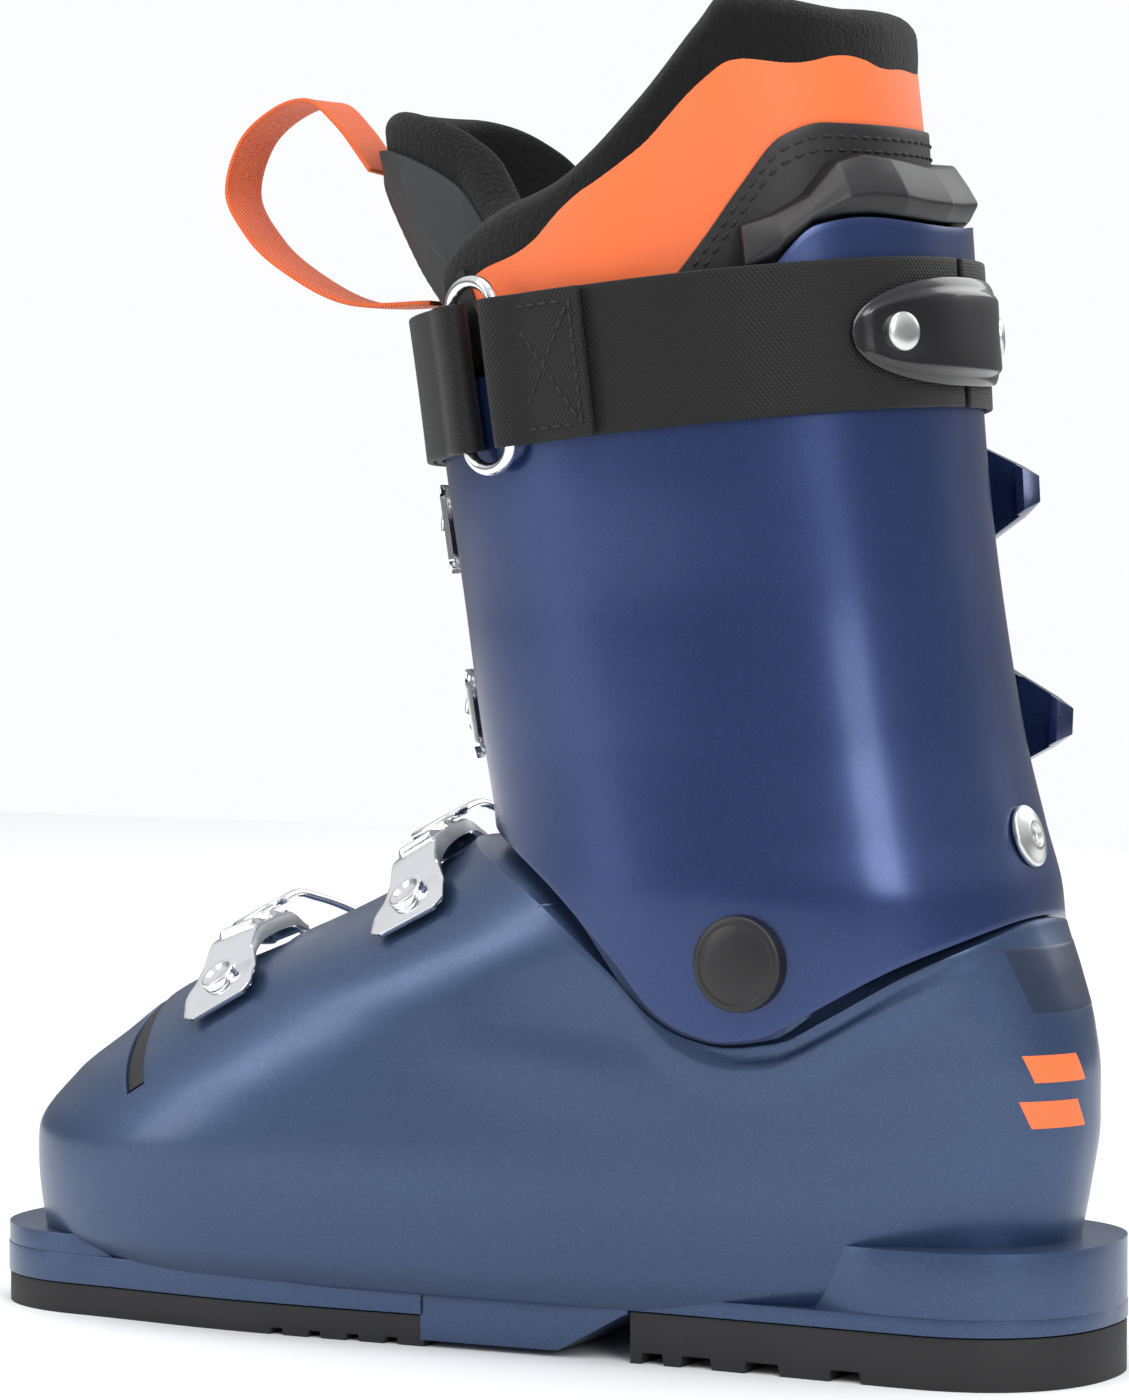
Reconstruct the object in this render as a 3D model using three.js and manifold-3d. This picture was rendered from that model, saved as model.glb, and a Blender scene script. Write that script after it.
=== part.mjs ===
// Alpine ski boot for the right foot, in millimetres.
// +X points to the toe, +Y to the inner side of the foot and +Z up. The sole stands on z = 0.
import * as THREE from 'three';
import { mergeVertices } from 'three/addons/utils/BufferGeometryUtils.js';
import Module from 'manifold-3d';

const wasm = await Module();
wasm.setup();

// ---------------------------------------------------------------- driving dimensions

const SOLE_LENGTH = 285;
const SHELL_WIDTH = 102;         // across the ball of the foot
const BOOT_HEIGHT = 304;         // ground to the top of the liner
const SHELL_WALL = 4;
const CUFF_WALL = 3.6;
const LINER_WALL = 8;
const FIT = 0.4;                 // gap between pieces that touch
const SEAT = 1;                  // flat metalwork stands this far off the curved shell
const RUN = 0.3;                 // radial gap round a pin
const FLEX_ANGLE = 3;            // degrees the cuff turns forward on its pivots

const TOE_LUG_HEIGHT = 19;
const HEEL_LUG_HEIGHT = 30;
const TOE_LUG_WIDTH = 69;
const HEEL_LUG_WIDTH = 68;
const BAND_TOP = 13.5;           // where the shell bulges out over the sole band
const TOE_PAD_THICK = 7;
const HEEL_PAD_THICK = 11.5;
const MID_SOLE_LIFT = 1.6;       // ground clearance of the arch between the pads
const FLOOR = 18;                // shell floor under the boot board
const RAMP_TOE = 24;             // boot board's top at the toe and at the heel
const RAMP_HEEL = 34;
const INSOLE_THICK = 4;
const SOCK_GAP = 3.2;            // liner's foot inside the shell
const SOCK_SOLE = 4;

const PIVOT = { x: -76.5, z: 92.3 };
const PIVOT_CAP_R = 10.5;
const PIVOT_SHAFT_R = 5;
const SPINE_BOLT_Z = 118.4;
const SPINE_BOLT_R = 7;
const SPINE_SHAFT_R = 3;

const STRAP_HALF = 16.5;
const WEBBING = 1.7;
const RING_WIRE_R = 1.5;

const PIN_R = 1.5;
const PIN_HEIGHT = 8;            // lever pivot above the shell
const LEVER_WIDTH = 24;
const LEVER_WALL = 2;
const BAIL_REACH = 7;            // lever pivot to bail pivot
const BAIL_WIRE_R = 1.2;
const BAIL_HALF = 7;             // bail's middle plane to either strand
const RIVET_R = 2.5;

const stretch = { x: SOLE_LENGTH / 285, y: SHELL_WIDTH / 102, z: BOOT_HEIGHT / 304 };

// ---------------------------------------------------------------- small helpers

const V = (x, y, z) => new THREE.Vector3(x, y, z);
const rad = THREE.MathUtils.degToRad;
const lerp = THREE.MathUtils.lerp;
const smooth = (a, b, x) => THREE.MathUtils.smoothstep(x, a, b);
const steps = (n, a, b) => Array.from({ length: n + 1 }, (_, i) => lerp(a, b, i / n));

// monotone cubic through points that are sorted by their first value
function curve(points, scaleIn = 1, scaleOut = 1) {
  const xs = points.map((p) => p[0] * scaleIn);
  const ys = points.map((p) => p[1] * scaleOut);
  const rise = xs.slice(1).map((x, i) => (ys[i + 1] - ys[i]) / (x - xs[i]));
  const slope = xs.map((_, i) => {
    if (i === 0) return rise[0];
    if (i === xs.length - 1) return rise[i - 1];
    return rise[i - 1] * rise[i] <= 0 ? 0 : 2 / (1 / rise[i - 1] + 1 / rise[i]);
  });
  return (x) => {
    if (x <= xs[0]) return ys[0];
    if (x >= xs.at(-1)) return ys.at(-1);
    let i = 0;
    while (x > xs[i + 1]) i += 1;
    const h = xs[i + 1] - xs[i];
    const u = (x - xs[i]) / h;
    const a = (1 + 2 * u) * (1 - u) ** 2 * ys[i] + u * (1 - u) ** 2 * h * slope[i];
    return a + u * u * (3 - 2 * u) * ys[i + 1] + u * u * (u - 1) * h * slope[i + 1];
  };
}

// ---------------------------------------------------------------- solids

function toSolid(geometry) {
  const bare = new THREE.BufferGeometry();
  bare.setAttribute('position', geometry.attributes.position);
  if (geometry.index) bare.setIndex(geometry.index);
  const merged = mergeVertices(bare, 1e-4);
  const position = merged.attributes.position;
  const index = Array.from(merged.index.array);
  const keep = [];
  let volume = 0;
  const [a, b, c] = [V(), V(), V()];
  for (let i = 0; i < index.length; i += 3) {
    const [p, q, r] = index.slice(i, i + 3);
    if (p === q || q === r || r === p) continue;
    keep.push([p, q, r]);
    volume += a.fromBufferAttribute(position, p).dot(
      b.fromBufferAttribute(position, q).cross(c.fromBufferAttribute(position, r)));
  }
  const faces = volume < 0 ? keep.map(([p, q, r]) => [p, r, q]) : keep;
  const mesh = new wasm.Mesh({
    numProp: 3,
    vertProperties: new Float32Array(position.array),
    triVerts: new Uint32Array(faces.flat()),
  });
  return new wasm.Manifold(mesh);
}

function toGeometry(solid) {
  const mesh = solid.getMesh();
  const geometry = new THREE.BufferGeometry();
  geometry.setAttribute('position', new THREE.BufferAttribute(mesh.vertProperties, 3));
  geometry.setIndex(new THREE.BufferAttribute(mesh.triVerts, 1));
  return geometry;
}

// a closed body from rings of equal length: stitched in order, then capped, or looped end to end
function skin(rings, { loop = false, strip = false } = {}) {
  const n = rings[0].length;
  const points = rings.flat();
  const index = [];
  const quad = (a, b, c, d) => index.push(a, b, c, a, c, d);
  const last = loop ? rings.length : rings.length - 1;
  for (let j = 0; j < last; j += 1) {
    const next = (j + 1) % rings.length;
    for (let i = 0; i < n; i += 1) {
      const k = (i + 1) % n;
      quad(j * n + i, j * n + k, next * n + k, next * n + i);
    }
  }
  const cap = (start, flip) => {
    const add = (a, b, c) => (flip ? index.push(a, c, b) : index.push(a, b, c));
    if (strip) {
      for (let i = 0; i < n / 2 - 1; i += 1) {
        const [a, b, c, d] = [i, i + 1, n - 2 - i, n - 1 - i].map((k) => start + k);
        add(a, c, b);
        add(a, d, c);
      }
      return;
    }
    const centre = points.length;
    const ring = points.slice(start, start + n);
    points.push(ring.reduce((sum, p) => sum.add(p), V(0, 0, 0)).divideScalar(n));
    for (let i = 0; i < n; i += 1) add(centre, start + (i + 1) % n, start + i);
  };
  if (!loop) {
    cap(0, false);
    cap((rings.length - 1) * n, true);
  }
  const geometry = new THREE.BufferGeometry().setFromPoints(points);
  geometry.setIndex(index);
  return toSolid(geometry);
}

// a matrix that carries local x, y, z to the given axes at a point
function place(origin, x, y, z) {
  return new THREE.Matrix4().makeBasis(x, y, z).setPosition(origin);
}

function extrude(shape, depth, matrix) {
  const geometry = new THREE.ExtrudeGeometry(shape, { depth, bevelEnabled: false, curveSegments: 8 });
  return toSolid(geometry.applyMatrix4(matrix));
}

// a turned piece: profile of [radius, height] pairs, standing on the origin along an axis
function turned(profile, origin, axis, sides = 16) {
  const points = profile.map(([r, h]) => new THREE.Vector2(r, h));
  const turn = new THREE.Quaternion().setFromUnitVectors(V(0, 1, 0), axis.clone().normalize());
  const matrix = new THREE.Matrix4().compose(origin, turn, V(1, 1, 1));
  return toSolid(new THREE.LatheGeometry(points, sides).applyMatrix4(matrix));
}

const rod = (r, origin, axis, from, to, sides = 16) =>
  turned([[0, from], [r, from], [r, to], [0, to]], origin, axis, sides);

// a flat band that follows frames {p, n, w}: each station has half-width, underside and top
function ribbon(frames, station) {
  return skin(frames.map((frame, i) => {
    const { half, low, high } = station(frame, i / (frames.length - 1));
    const at = (side, up) => frame.p.clone().addScaledVector(frame.w, side).addScaledVector(frame.n, up);
    return [at(-half, low), at(half, low), at(half, high), at(-half, high)];
  }));
}

// a round wire through a list of points, its ends capped or joined
function wire(points, r, { closed = false, sides = 8 } = {}) {
  const n = points.length;
  const at = (i) => points[closed ? (i + n) % n : THREE.MathUtils.clamp(i, 0, n - 1)];
  let up = null;
  const rings = points.map((p, i) => {
    const t = at(i + 1).clone().sub(at(i - 1)).normalize();
    if (!up) up = Math.abs(t.z) < 0.9 ? V(0, 0, 1) : V(0, 1, 0);
    up = up.clone().addScaledVector(t, -up.dot(t)).normalize();
    const side = t.clone().cross(up);
    return steps(sides, 0, 2 * Math.PI).slice(0, -1).map((a) =>
      p.clone().addScaledVector(up, r * Math.cos(a)).addScaledVector(side, r * Math.sin(a)));
  });
  return skin(rings, { loop: closed });
}

const along = (points, count) =>
  new THREE.CatmullRomCurve3(points, false, 'centripetal').getSpacedPoints(count);

const parts = [];
function node(name, solid, colour, roughness, metalness = 0) {
  parts.push({ name, solid, colour, roughness, metalness });
}

// ---------------------------------------------------------------- forms

// A form is a stack of rounded level sections. read(z) gives a section's front and rear, its
// reach to the inner and outer side, where it is widest, and how square its nose and heel are.
class Form {
  constructor(read) {
    this.read = read;
  }

  static fromStations(rows, heel) {
    const column = (k, scale) => curve(rows.map((row) => [row[0], row[k]]), stretch.z, scale);
    const front = column(1, stretch.x);
    const rear = column(2, stretch.x);
    const inner = column(3, stretch.y);
    const outer = column(4, stretch.y);
    const widest = column(5, stretch.x);
    const nose = column(6, 1);
    return new Form((z) => ({
      front: front(z), rear: rear(z), inner: inner(z), outer: outer(z), widest: widest(z), nose: nose(z), heel,
    }));
  }

  point(t, z, inset = 0) {
    const k = this.read(z);
    const [c, s] = [Math.cos(t), Math.sin(t)];
    const square = c > 0 ? k.nose : k.heel;
    const reach = c > 0 ? k.front - inset - k.widest : k.widest - k.rear - inset;
    const side = (s > 0 ? k.inner : k.outer) - inset;
    const x = k.widest + reach * Math.sign(c) * Math.abs(c) ** (2 / square);
    return V(x, side * Math.sign(s) * Math.abs(s) ** (2 / square), z);
  }

  // negative inside the form, positive outside
  field(p) {
    const k = this.read(p.z);
    const ahead = p.x > k.widest;
    const u = Math.abs(p.x - k.widest) / (ahead ? k.front - k.widest : k.widest - k.rear);
    const v = Math.abs(p.y) / (p.y > 0 ? k.inner : k.outer);
    const square = ahead ? k.nose : k.heel;
    return u ** square + v ** square - 1;
  }

  normal(p) {
    const h = 0.05;
    const d = (x, y, z) => this.field(V(p.x + x, p.y + y, p.z + z)) - this.field(V(p.x - x, p.y - y, p.z - z));
    return V(d(h, 0, 0), d(0, h, 0), d(0, 0, h)).normalize();
  }

  // where a line that starts inside meets the surface
  cast(origin, direction) {
    let [near, far] = [0, 200];
    for (let i = 0; i < 40; i += 1) {
      const mid = (near + far) / 2;
      if (this.field(origin.clone().addScaledVector(direction, mid)) < 0) near = mid;
      else far = mid;
    }
    return origin.clone().addScaledVector(direction, near);
  }

  // height at which the surface, followed upward at angle t, crosses a line drawn on the side view
  crossing(t, line, low, high, inset = () => 0) {
    let [a, b] = [low, high];
    for (let i = 0; i < 40; i += 1) {
      const mid = (a + b) / 2;
      if (mid < line(this.point(t, mid, inset(t, mid)).x)) a = mid;
      else b = mid;
    }
    return (a + b) / 2;
  }

  // frames along the cut of a leaning plane: angle 0 looks along `ahead`, positive to the inner side
  path(origin, ahead, angles) {
    const spot = (a) => {
      const direction = ahead.clone().multiplyScalar(Math.cos(a)).add(V(0, Math.sin(a), 0));
      return this.cast(origin, direction);
    };
    return angles.map((a) => {
      const p = spot(a);
      const n = this.normal(p);
      const t = spot(a + 0.01).sub(spot(a - 0.01)).normalize();
      const w = t.clone().cross(n).normalize();
      return { p, n, w, t: n.clone().cross(w), a };
    });
  }
}

//   height, front, rear, inner, outer, widest, nose
const foot = Form.fromStations([
  [12, 122, -130, 37, 39, 55, 2.5],
  [20, 131, -131, 43, 46, 55, 2.5],
  [42, 132, -135, 49, 53, 50, 2.4],
  [56, 122, -137, 48, 52, 38, 2.3],
  [66, 109, -137, 47, 50, 22, 2.2],
  [77, 94, -135.5, 46, 48, 0, 2.1],
  [88, 66.5, -132, 46, 47, -22, 2.05],
  [99, 41, -127.5, 46, 47, -45, 2],
  [110, 20, -124, 46, 46, -60, 2],
  [122, 6, -117, 45, 45, -66, 2],
  [134, -7, -112, 44, 44, -66, 2],
  [150, -22, -106, 44, 44, -66, 2],
], 2.3);

const cuff = Form.fromStations([
  [75, 5, -127.5, 50, 50, -66, 2.2],
  [105, 5, -125, 51, 51, -66, 2.2],
  [120, 6, -121, 50, 50, -62, 2.2],
  [140, 9.5, -116, 49, 49, -56, 2.2],
  [165, 13, -111.5, 49, 49, -49, 2.2],
  [200, 18, -106.5, 51, 51, -43, 2.2],
  [250, 24.5, -102.5, 53, 53, -38, 2.2],
  [310, 30, -98, 53, 53, -36, 2.2],
], 2.25);

// side-view lines, as [x, z]
const sideLine = (points) => curve(points, stretch.x, stretch.z);
const cuffHem = sideLine([[-132, 106], [-122, 99], [-107, 91], [-90, 81], [-80, 76], [-71, 75], [-62, 77],
  [-54, 81.5], [-44, 92], [-24, 108], [-8, 116], [8, 121.5]]);
const cuffTop = sideLine([[-112, 249.5], [-96, 254], [-88, 252], [-78, 240], [-55, 226], [-20, 220], [24, 219]]);
const collarTop = sideLine([[-118, 164], [-90, 162], [-60, 150], [-30, 136], [-12, 131]]);
const linerTop = sideLine([[-86, 301], [-66, 303.7], [-60, 297], [-48, 280], [-38, 270], [-26, 262], [-8, 256],
  [8, 246], [20, 232]]);

// The lower shell steps in under the cuff's hem, lower towards the front where the cuff turns down.
const HEM_GAP = 1.8;
const flexDrop = (x) => Math.sin(rad(FLEX_ANGLE)) * Math.max(0, x - PIVOT.x * stretch.x);
const nest = (x) => {
  const ahead = 2.2;
  return Math.min(cuffHem(x), cuffHem(x - ahead)) - HEM_GAP - flexDrop(x);
};
const flexShift = (z) => Math.sin(rad(FLEX_ANGLE)) * Math.max(0, z - PIVOT.z * stretch.z);
const core = new Form((z) => {
  const f = foot.read(z);
  const k = cuff.read(z);
  const behind = k.rear + CUFF_WALL + 1.3 + flexShift(z);
  const blend = smooth(60 * stretch.z, 100 * stretch.z, z);
  const rise = smooth(105 * stretch.z, 130 * stretch.z, z);
  const step = lerp(FIT, 4.8, smooth(80 * stretch.z, 102 * stretch.z, z));
  const side = (a, b) => Math.min(lerp(a - step, b, rise), b - CUFF_WALL - 1.7);
  const throat = smooth(102 * stretch.z, 113 * stretch.z, z);
  return {
    ...f,
    widest: lerp(f.widest, k.widest, rise),
    nose: lerp(f.nose, 1.9, smooth(86 * stretch.z, 108 * stretch.z, z)),
    front: lerp(f.front - step, Math.min(f.front - step, k.front - CUFF_WALL - 1.5), throat),
    rear: lerp(f.rear + FIT, Math.max(behind, f.rear + FIT), blend),
    inner: side(f.inner, k.inner),
    outer: side(f.outer, k.outer),
  };
});
const cavity = new Form((z) => {
  const k = core.read(z);
  const above = core.read(z + SHELL_WALL);
  return {
    ...k,
    front: Math.min(above.front, k.front) - SHELL_WALL,
    rear: k.rear + SHELL_WALL,
    inner: k.inner - SHELL_WALL,
    outer: k.outer - SHELL_WALL,
  };
});

// ---------------------------------------------------------------- lower shell and sole

const ROUND = 40;
const turns = steps(ROUND, 0, 2 * Math.PI).slice(0, -1);

function lowerShellBody() {
  const [hemLow, hemHigh] = [60 * stretch.z, 140 * stretch.z];
  const hem = turns.map((t) => foot.crossing(t, nest, hemLow, hemHigh));
  const rim = turns.map((t) => core.crossing(t, collarTop, 100 * stretch.z, 175 * stretch.z));
  const start = 12 * stretch.z;
  const rows = [0, 0.07, 0.2, 0.36, 0.5, 0.62, 0.74, 0.86, 1];
  const outside = rows.map((u) => turns.map((t, i) => foot.point(t, lerp(start, hem[i], u))));
  const collar = [0, 0.5, 1].map((u) => turns.map((t, i) => core.point(t, lerp(hem[i], rim[i], u))));
  const inside = [1, 0.85, 0.73, 0.63, 0.55, 0.48, 0.4, 0.28, 0.15, 0].map((u) =>
    turns.map((t, i) => cavity.point(t, lerp(FLOOR, rim[i], u))));
  return skin([...outside, ...collar, ...inside]);
}

const soleEdge = curve([[-108, HEEL_LUG_WIDTH / 2], [-50, 33], [0, 35], [60, 37.5], [105, TOE_LUG_WIDTH / 2]],
  stretch.x, 1);
const soleEnd = SOLE_LENGTH / 2;

function soleHalfWidth(x) {
  const squareness = 2.3;
  const round = (from, half) => {
    const u = Math.min(1, (Math.abs(x) - from) / (soleEnd - from));
    return half * (1 - u ** squareness) ** (1 / squareness);
  };
  if (x > 105 * stretch.x) return round(105 * stretch.x, TOE_LUG_WIDTH / 2);
  if (x < -108 * stretch.x) return round(108 * stretch.x, HEEL_LUG_WIDTH / 2);
  return soleEdge(x);
}

// the sole's outline between two places along its length, pulled in by an inset
function soleShape(from, to, inset = 0) {
  const spots = steps(20, 0, Math.PI).map((a) => lerp(from, to, (1 - Math.cos(a)) / 2));
  const keep = spots.map((x) => [x, Math.max(soleHalfWidth(x) - inset, 0)]);
  const ends = keep.filter(([, y]) => y > 1e-3);
  const outline = [...ends, ...ends.map(([x, y]) => [x, -y]).reverse()];
  return new THREE.Shape(outline.map(([x, y]) => new THREE.Vector2(x, y)));
}

const flat = (z) => new THREE.Matrix4().makeTranslation(0, 0, z);
const slab = (from, to, low, high, inset = 0) => extrude(soleShape(from, to, inset), high - low, flat(low));

const toePadEnd = 12 * stretch.x;
const heelPadEnd = -40 * stretch.x;

function block(x0, x1, y0, y1, z0, z1) {
  return toSolid(new THREE.BoxGeometry(x1 - x0, y1 - y0, z1 - z0)
    .translate((x0 + x1) / 2, (y0 + y1) / 2, (z0 + z1) / 2));
}

function lowerShell() {
  const band = slab(toePadEnd - FIT, soleEnd, TOE_PAD_THICK + FIT, BAND_TOP)
    .add(slab(heelPadEnd + FIT, toePadEnd - FIT + 0.01, MID_SOLE_LIFT, BAND_TOP))
    .add(slab(-soleEnd, heelPadEnd + FIT + 0.01, HEEL_PAD_THICK + FIT, BAND_TOP))
    .add(slab(104 * stretch.x, soleEnd, BAND_TOP - 1, TOE_LUG_HEIGHT))
    .add(slab(-soleEnd, -94 * stretch.x, BAND_TOP - 1, HEEL_LUG_HEIGHT));
  const room = skin([FLOOR, FLOOR + 8, FLOOR + 20].map((z) => turns.map((t) => cavity.point(t, z))));
  return lowerShellBody().add(band.subtract(room));
}

// grooves between the lugs of a sole pad, as [from, to] along the sole
function grooves(pairs, depth) {
  return pairs.map(([a, b]) => block(a * stretch.x, b * stretch.x, -60, 60, -1, depth));
}

function cut(solid, tools) {
  return tools.reduce((left, tool) => left.subtract(tool), solid);
}

const toePad = cut(slab(toePadEnd, soleEnd, 0, TOE_PAD_THICK, 0.6),
  grooves([[19, 22], [29, 32], [39, 42], [49, 52]], 1.6));
const heelPad = cut(slab(-soleEnd, heelPadEnd, 0, HEEL_PAD_THICK, 0.6),
  grooves([[-48, -43], [-60, -53], [-77, -69], [-97, -90]], 2.6));

const ramp = (x) => lerp(RAMP_TOE, RAMP_HEEL, 0.4 - x / (150 * stretch.x));
const rampRing = (form, inset, lift) => turns.map((t) => {
  const p = form.point(t, RAMP_TOE + 6, inset);
  p.z = ramp(p.x) + lift;
  return p;
});

function bootBoard() {
  const bottom = turns.map((t) => cavity.point(t, FLOOR + FIT, SOCK_GAP));
  return skin([bottom, rampRing(cavity, SOCK_GAP, 0)]);
}

const LINER_FOOT_TOP = 96;
const SOCK_WALL = LINER_WALL * 0.7;
const sockTurns = steps(32, 0, 2 * Math.PI).slice(0, -1);

function linerFoot() {
  const top = LINER_FOOT_TOP * stretch.z;
  const rows = [0, 0.12, 0.3, 0.5, 0.7, 0.85, 1];
  const raise = (inset, lift, u) => sockTurns.map((t) => {
    const base = cavity.point(t, RAMP_TOE + 6, inset);
    const z = lerp(ramp(base.x) + lift, top, u);
    return u === 0 ? V(base.x, base.y, z) : cavity.point(t, z, inset);
  });
  const outer = rows.map((u) => raise(SOCK_GAP, FIT, u));
  const inner = rows.map((u) => raise(SOCK_GAP + SOCK_WALL, FIT + SOCK_SOLE, u)).reverse();
  return skin([...outer, ...inner]);
}

function insole() {
  const inset = SOCK_GAP + SOCK_WALL + 3.6;
  const lift = 2 * FIT + SOCK_SOLE;
  return skin([rampRing(cavity, inset, lift), rampRing(cavity, inset, lift + INSOLE_THICK)]);
}

// ---------------------------------------------------------------- cuff and what it holds

const zRange = [60 * stretch.z, 320 * stretch.z];
const cuffLine = (line, inset = () => 0) => (t) => cuff.crossing(t, line, ...zRange, inset);

// a band round the cuff: every level says, for each angle, its height and its two insets
function band(angles, levels) {
  return skin(levels.map((level) => [
    ...angles.map((t) => cuff.point(t, level.z(t), level.outer(t, level.z(t)))),
    ...angles.map((t) => cuff.point(t, level.z(t), level.inner(t, level.z(t)))).reverse(),
  ]), { strip: true });
}

const between = (count, low, high, outer, inner) =>
  steps(count, 0, 1).map((u) => ({ z: (t) => lerp(low(t), high(t), u), outer, inner }));

const FLAP_EDGE = rad(-7);       // free edge of the outer flap
const TUCK_EDGE = rad(386);      // free edge of the flap that lies under it
const tuck = (t) => (CUFF_WALL + FIT) * smooth(rad(338), rad(353), t);

const cuffShell = () => band(steps(46, FLAP_EDGE, TUCK_EDGE),
  between(6, (t) => cuffLine(cuffHem, tuck)(t) + 13 * smooth(rad(334), rad(352), t), cuffLine(cuffTop, tuck),
    tuck, (t) => tuck(t) + CUFF_WALL));

// frames round the cuff in a plane that rises to the back by `rise` for each millimetre
const cuffPath = (z, rise, angles) =>
  cuff.path(V(-45 * stretch.x, 0, z), V(1, 0, -rise).normalize(), angles);

// the spoiler's foot stands inside the cuff and its lip rests over the cuff's top edge
const spoilerTop = sideLine([[-104, 262], [-100, 267], [-94, 268], [-88, 259], [-78, 253], [-66, 250]]);
function calfSpoiler() {
  const shoulder = (t) => cuffLine(cuffTop)(t) + 1;
  const inside = () => CUFF_WALL + 2 * FIT;
  const lip = () => 1;
  const inner = () => CUFF_WALL + 6;
  return band(steps(24, rad(122), rad(238)), [
    { z: () => 228 * stretch.z, outer: inside, inner },
    { z: shoulder, outer: inside, inner },
    { z: (t) => shoulder(t) + 0.01, outer: lip, inner },
    { z: cuffLine(spoilerTop), outer: () => 3, inner },
  ]);
}

// the liner's upper stands clear of the shell's collar below, and of the spoiler behind
const linerInset = (t, z) => {
  const low = CUFF_WALL + 10.5;
  const behind = smooth(rad(88), rad(118), t) * (1 - smooth(rad(242), rad(272), t));
  const high = CUFF_WALL + 0.8 + 6.2 * behind;
  return lerp(low, high, smooth(168 * stretch.z, 190 * stretch.z, z));
};
const LINER_UPPER_START = 141;

const linerCuff = () => band(steps(30, rad(34), rad(326)),
  between(6, () => LINER_UPPER_START * stretch.z, cuffLine(linerTop, linerInset), linerInset,
    (t, z) => linerInset(t, z) + LINER_WALL));

// the tongue tucks inside the liner at its sides and leans out over the cuff at its top
const TONGUE_SHELL = 1.6;
const tongueTurn = (t) => Math.abs(Math.atan2(Math.sin(t), Math.cos(t)));
const tongueInset = (t, z) => {
  const turn = tongueTurn(t);
  const middle = lerp(CUFF_WALL * 2 + 4.4, CUFF_WALL + 3, smooth(216 * stretch.z, 246 * stretch.z, z));
  const tucked = linerInset(rad(34), z) + LINER_WALL + 2 * TONGUE_SHELL + 1;
  const lean = 17.5 * smooth(222 * stretch.z, 276 * stretch.z, z) * (1 - smooth(0, rad(46), turn));
  return lerp(middle, tucked, smooth(rad(13), rad(31), turn)) - lean;
};
const tongueTop = (t) => (282 - 24 * smooth(rad(14), rad(50), tongueTurn(t))) * stretch.z;
const tongueThick = (t) => lerp(9, 4, smooth(rad(15), rad(48), tongueTurn(t)));
const linerTongue = () => band(steps(20, rad(-48), rad(48)),
  between(9, () => 150 * stretch.z, tongueTop, tongueInset, (t, z) => tongueInset(t, z) + tongueThick(t)));
const shellGap = 2 * FIT;
const tongueShell = () => band(steps(16, rad(-38.4), rad(38.4)),
  between(6, () => 196 * stretch.z, (t) => tongueTop(t) - 9,
    (t, z) => tongueInset(t, z) - shellGap - TONGUE_SHELL, (t, z) => tongueInset(t, z) - shellGap));

// a loop of webbing whose two ends meet the front of the tongue's shell, standing out ahead of it
const LOOP_THICK = 1.2;
function pullLoop() {
  const seat = (y, z) => {
    const height = z * stretch.z;
    const face = cuff.point(0, height, tongueInset(0, height) - shellGap - TONGUE_SHELL);
    return V(face.x + 2.5 * FIT, y * stretch.y, height);
  };
  const hanging = [[47, 3, 238.5], [66, -1, 246], [80, -6, 255], [88, -9, 266], [84, -9, 278],
    [73, -7, 285], [61, -3, 286], [51, 1, 280]].map(([x, y, z]) => V(x * stretch.x, y * stretch.y, z * stretch.z));
  const points = along([seat(5, 238), ...hanging, seat(4, 268)], 30);
  const frames = points.map((p, i) => {
    const t = points[Math.min(i + 1, 30)].clone().sub(points[Math.max(i - 1, 0)]).normalize();
    const w = V(0, 1, 0).addScaledVector(t, -t.y).normalize();
    return { p, w, n: w.clone().cross(t) };
  });
  return ribbon(frames, () => ({ half: 7.5, low: -LOOP_THICK / 2, high: LOOP_THICK / 2 }));
}

// ---------------------------------------------------------------- power strap

const strapPath = (angles) => cuffPath(223.5 * stretch.z, 0.1, angles.map(rad));
const RING_FRONT = 50;
const RING_REAR = 63;
const layer = { low: FIT, high: FIT + WEBBING };
const upper = { low: 2 * FIT + WEBBING, high: 2 * FIT + 2 * WEBBING };
const barHeight = FIT + RING_WIRE_R + RUN + 1.4;
const ringFrame = strapPath([(RING_FRONT + RING_REAR) / 2])[0];
const barSpot = (a) => {
  const frame = strapPath([a])[0];
  return frame.p.clone().addScaledVector(frame.n, barHeight);
};

// webbing from one angle to another that ends in a loop round one bar of the ring
function strapLength(angles, barAngle, folded) {
  const bar = barSpot(barAngle);
  const loop = rod(RING_WIRE_R + RUN + 1.4, bar, ringFrame.w, -STRAP_HALF, STRAP_HALF, 14);
  const flat = ribbon(strapPath(angles), () => ({ half: STRAP_HALF, ...layer }));
  const back = folded ? ribbon(strapPath(folded), () => ({ half: STRAP_HALF, ...upper })) : null;
  const cloth = back ? flat.add(back).add(loop) : flat.add(loop);
  return cloth.subtract(rod(RING_WIRE_R + RUN, bar, ringFrame.w, -STRAP_HALF - 1, STRAP_HALF + 1, 14));
}
const strapLong = () => strapLength(steps(32, -179, RING_FRONT - 1), RING_FRONT, steps(18, -48, RING_FRONT - 1));
const strapShort = () => strapLength(steps(24, 179, RING_REAR + 1), RING_REAR, steps(8, 84, RING_REAR + 1));

function strapRing() {
  const [front, rear] = [barSpot(RING_FRONT), barSpot(RING_REAR)];
  const centre = front.clone().add(rear).divideScalar(2);
  const half = front.clone().sub(rear).divideScalar(2);
  const w = ringFrame.w.clone();
  const straight = STRAP_HALF - 1;
  const arc = (sign) => steps(6, 0, Math.PI).map((a) => centre.clone()
    .addScaledVector(half, sign * Math.cos(a))
    .addScaledVector(w, sign * (straight + half.length() * 0.75 * Math.sin(a))));
  return wire([...arc(1), ...arc(-1)], RING_WIRE_R, { closed: true, sides: 8 });
}

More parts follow.
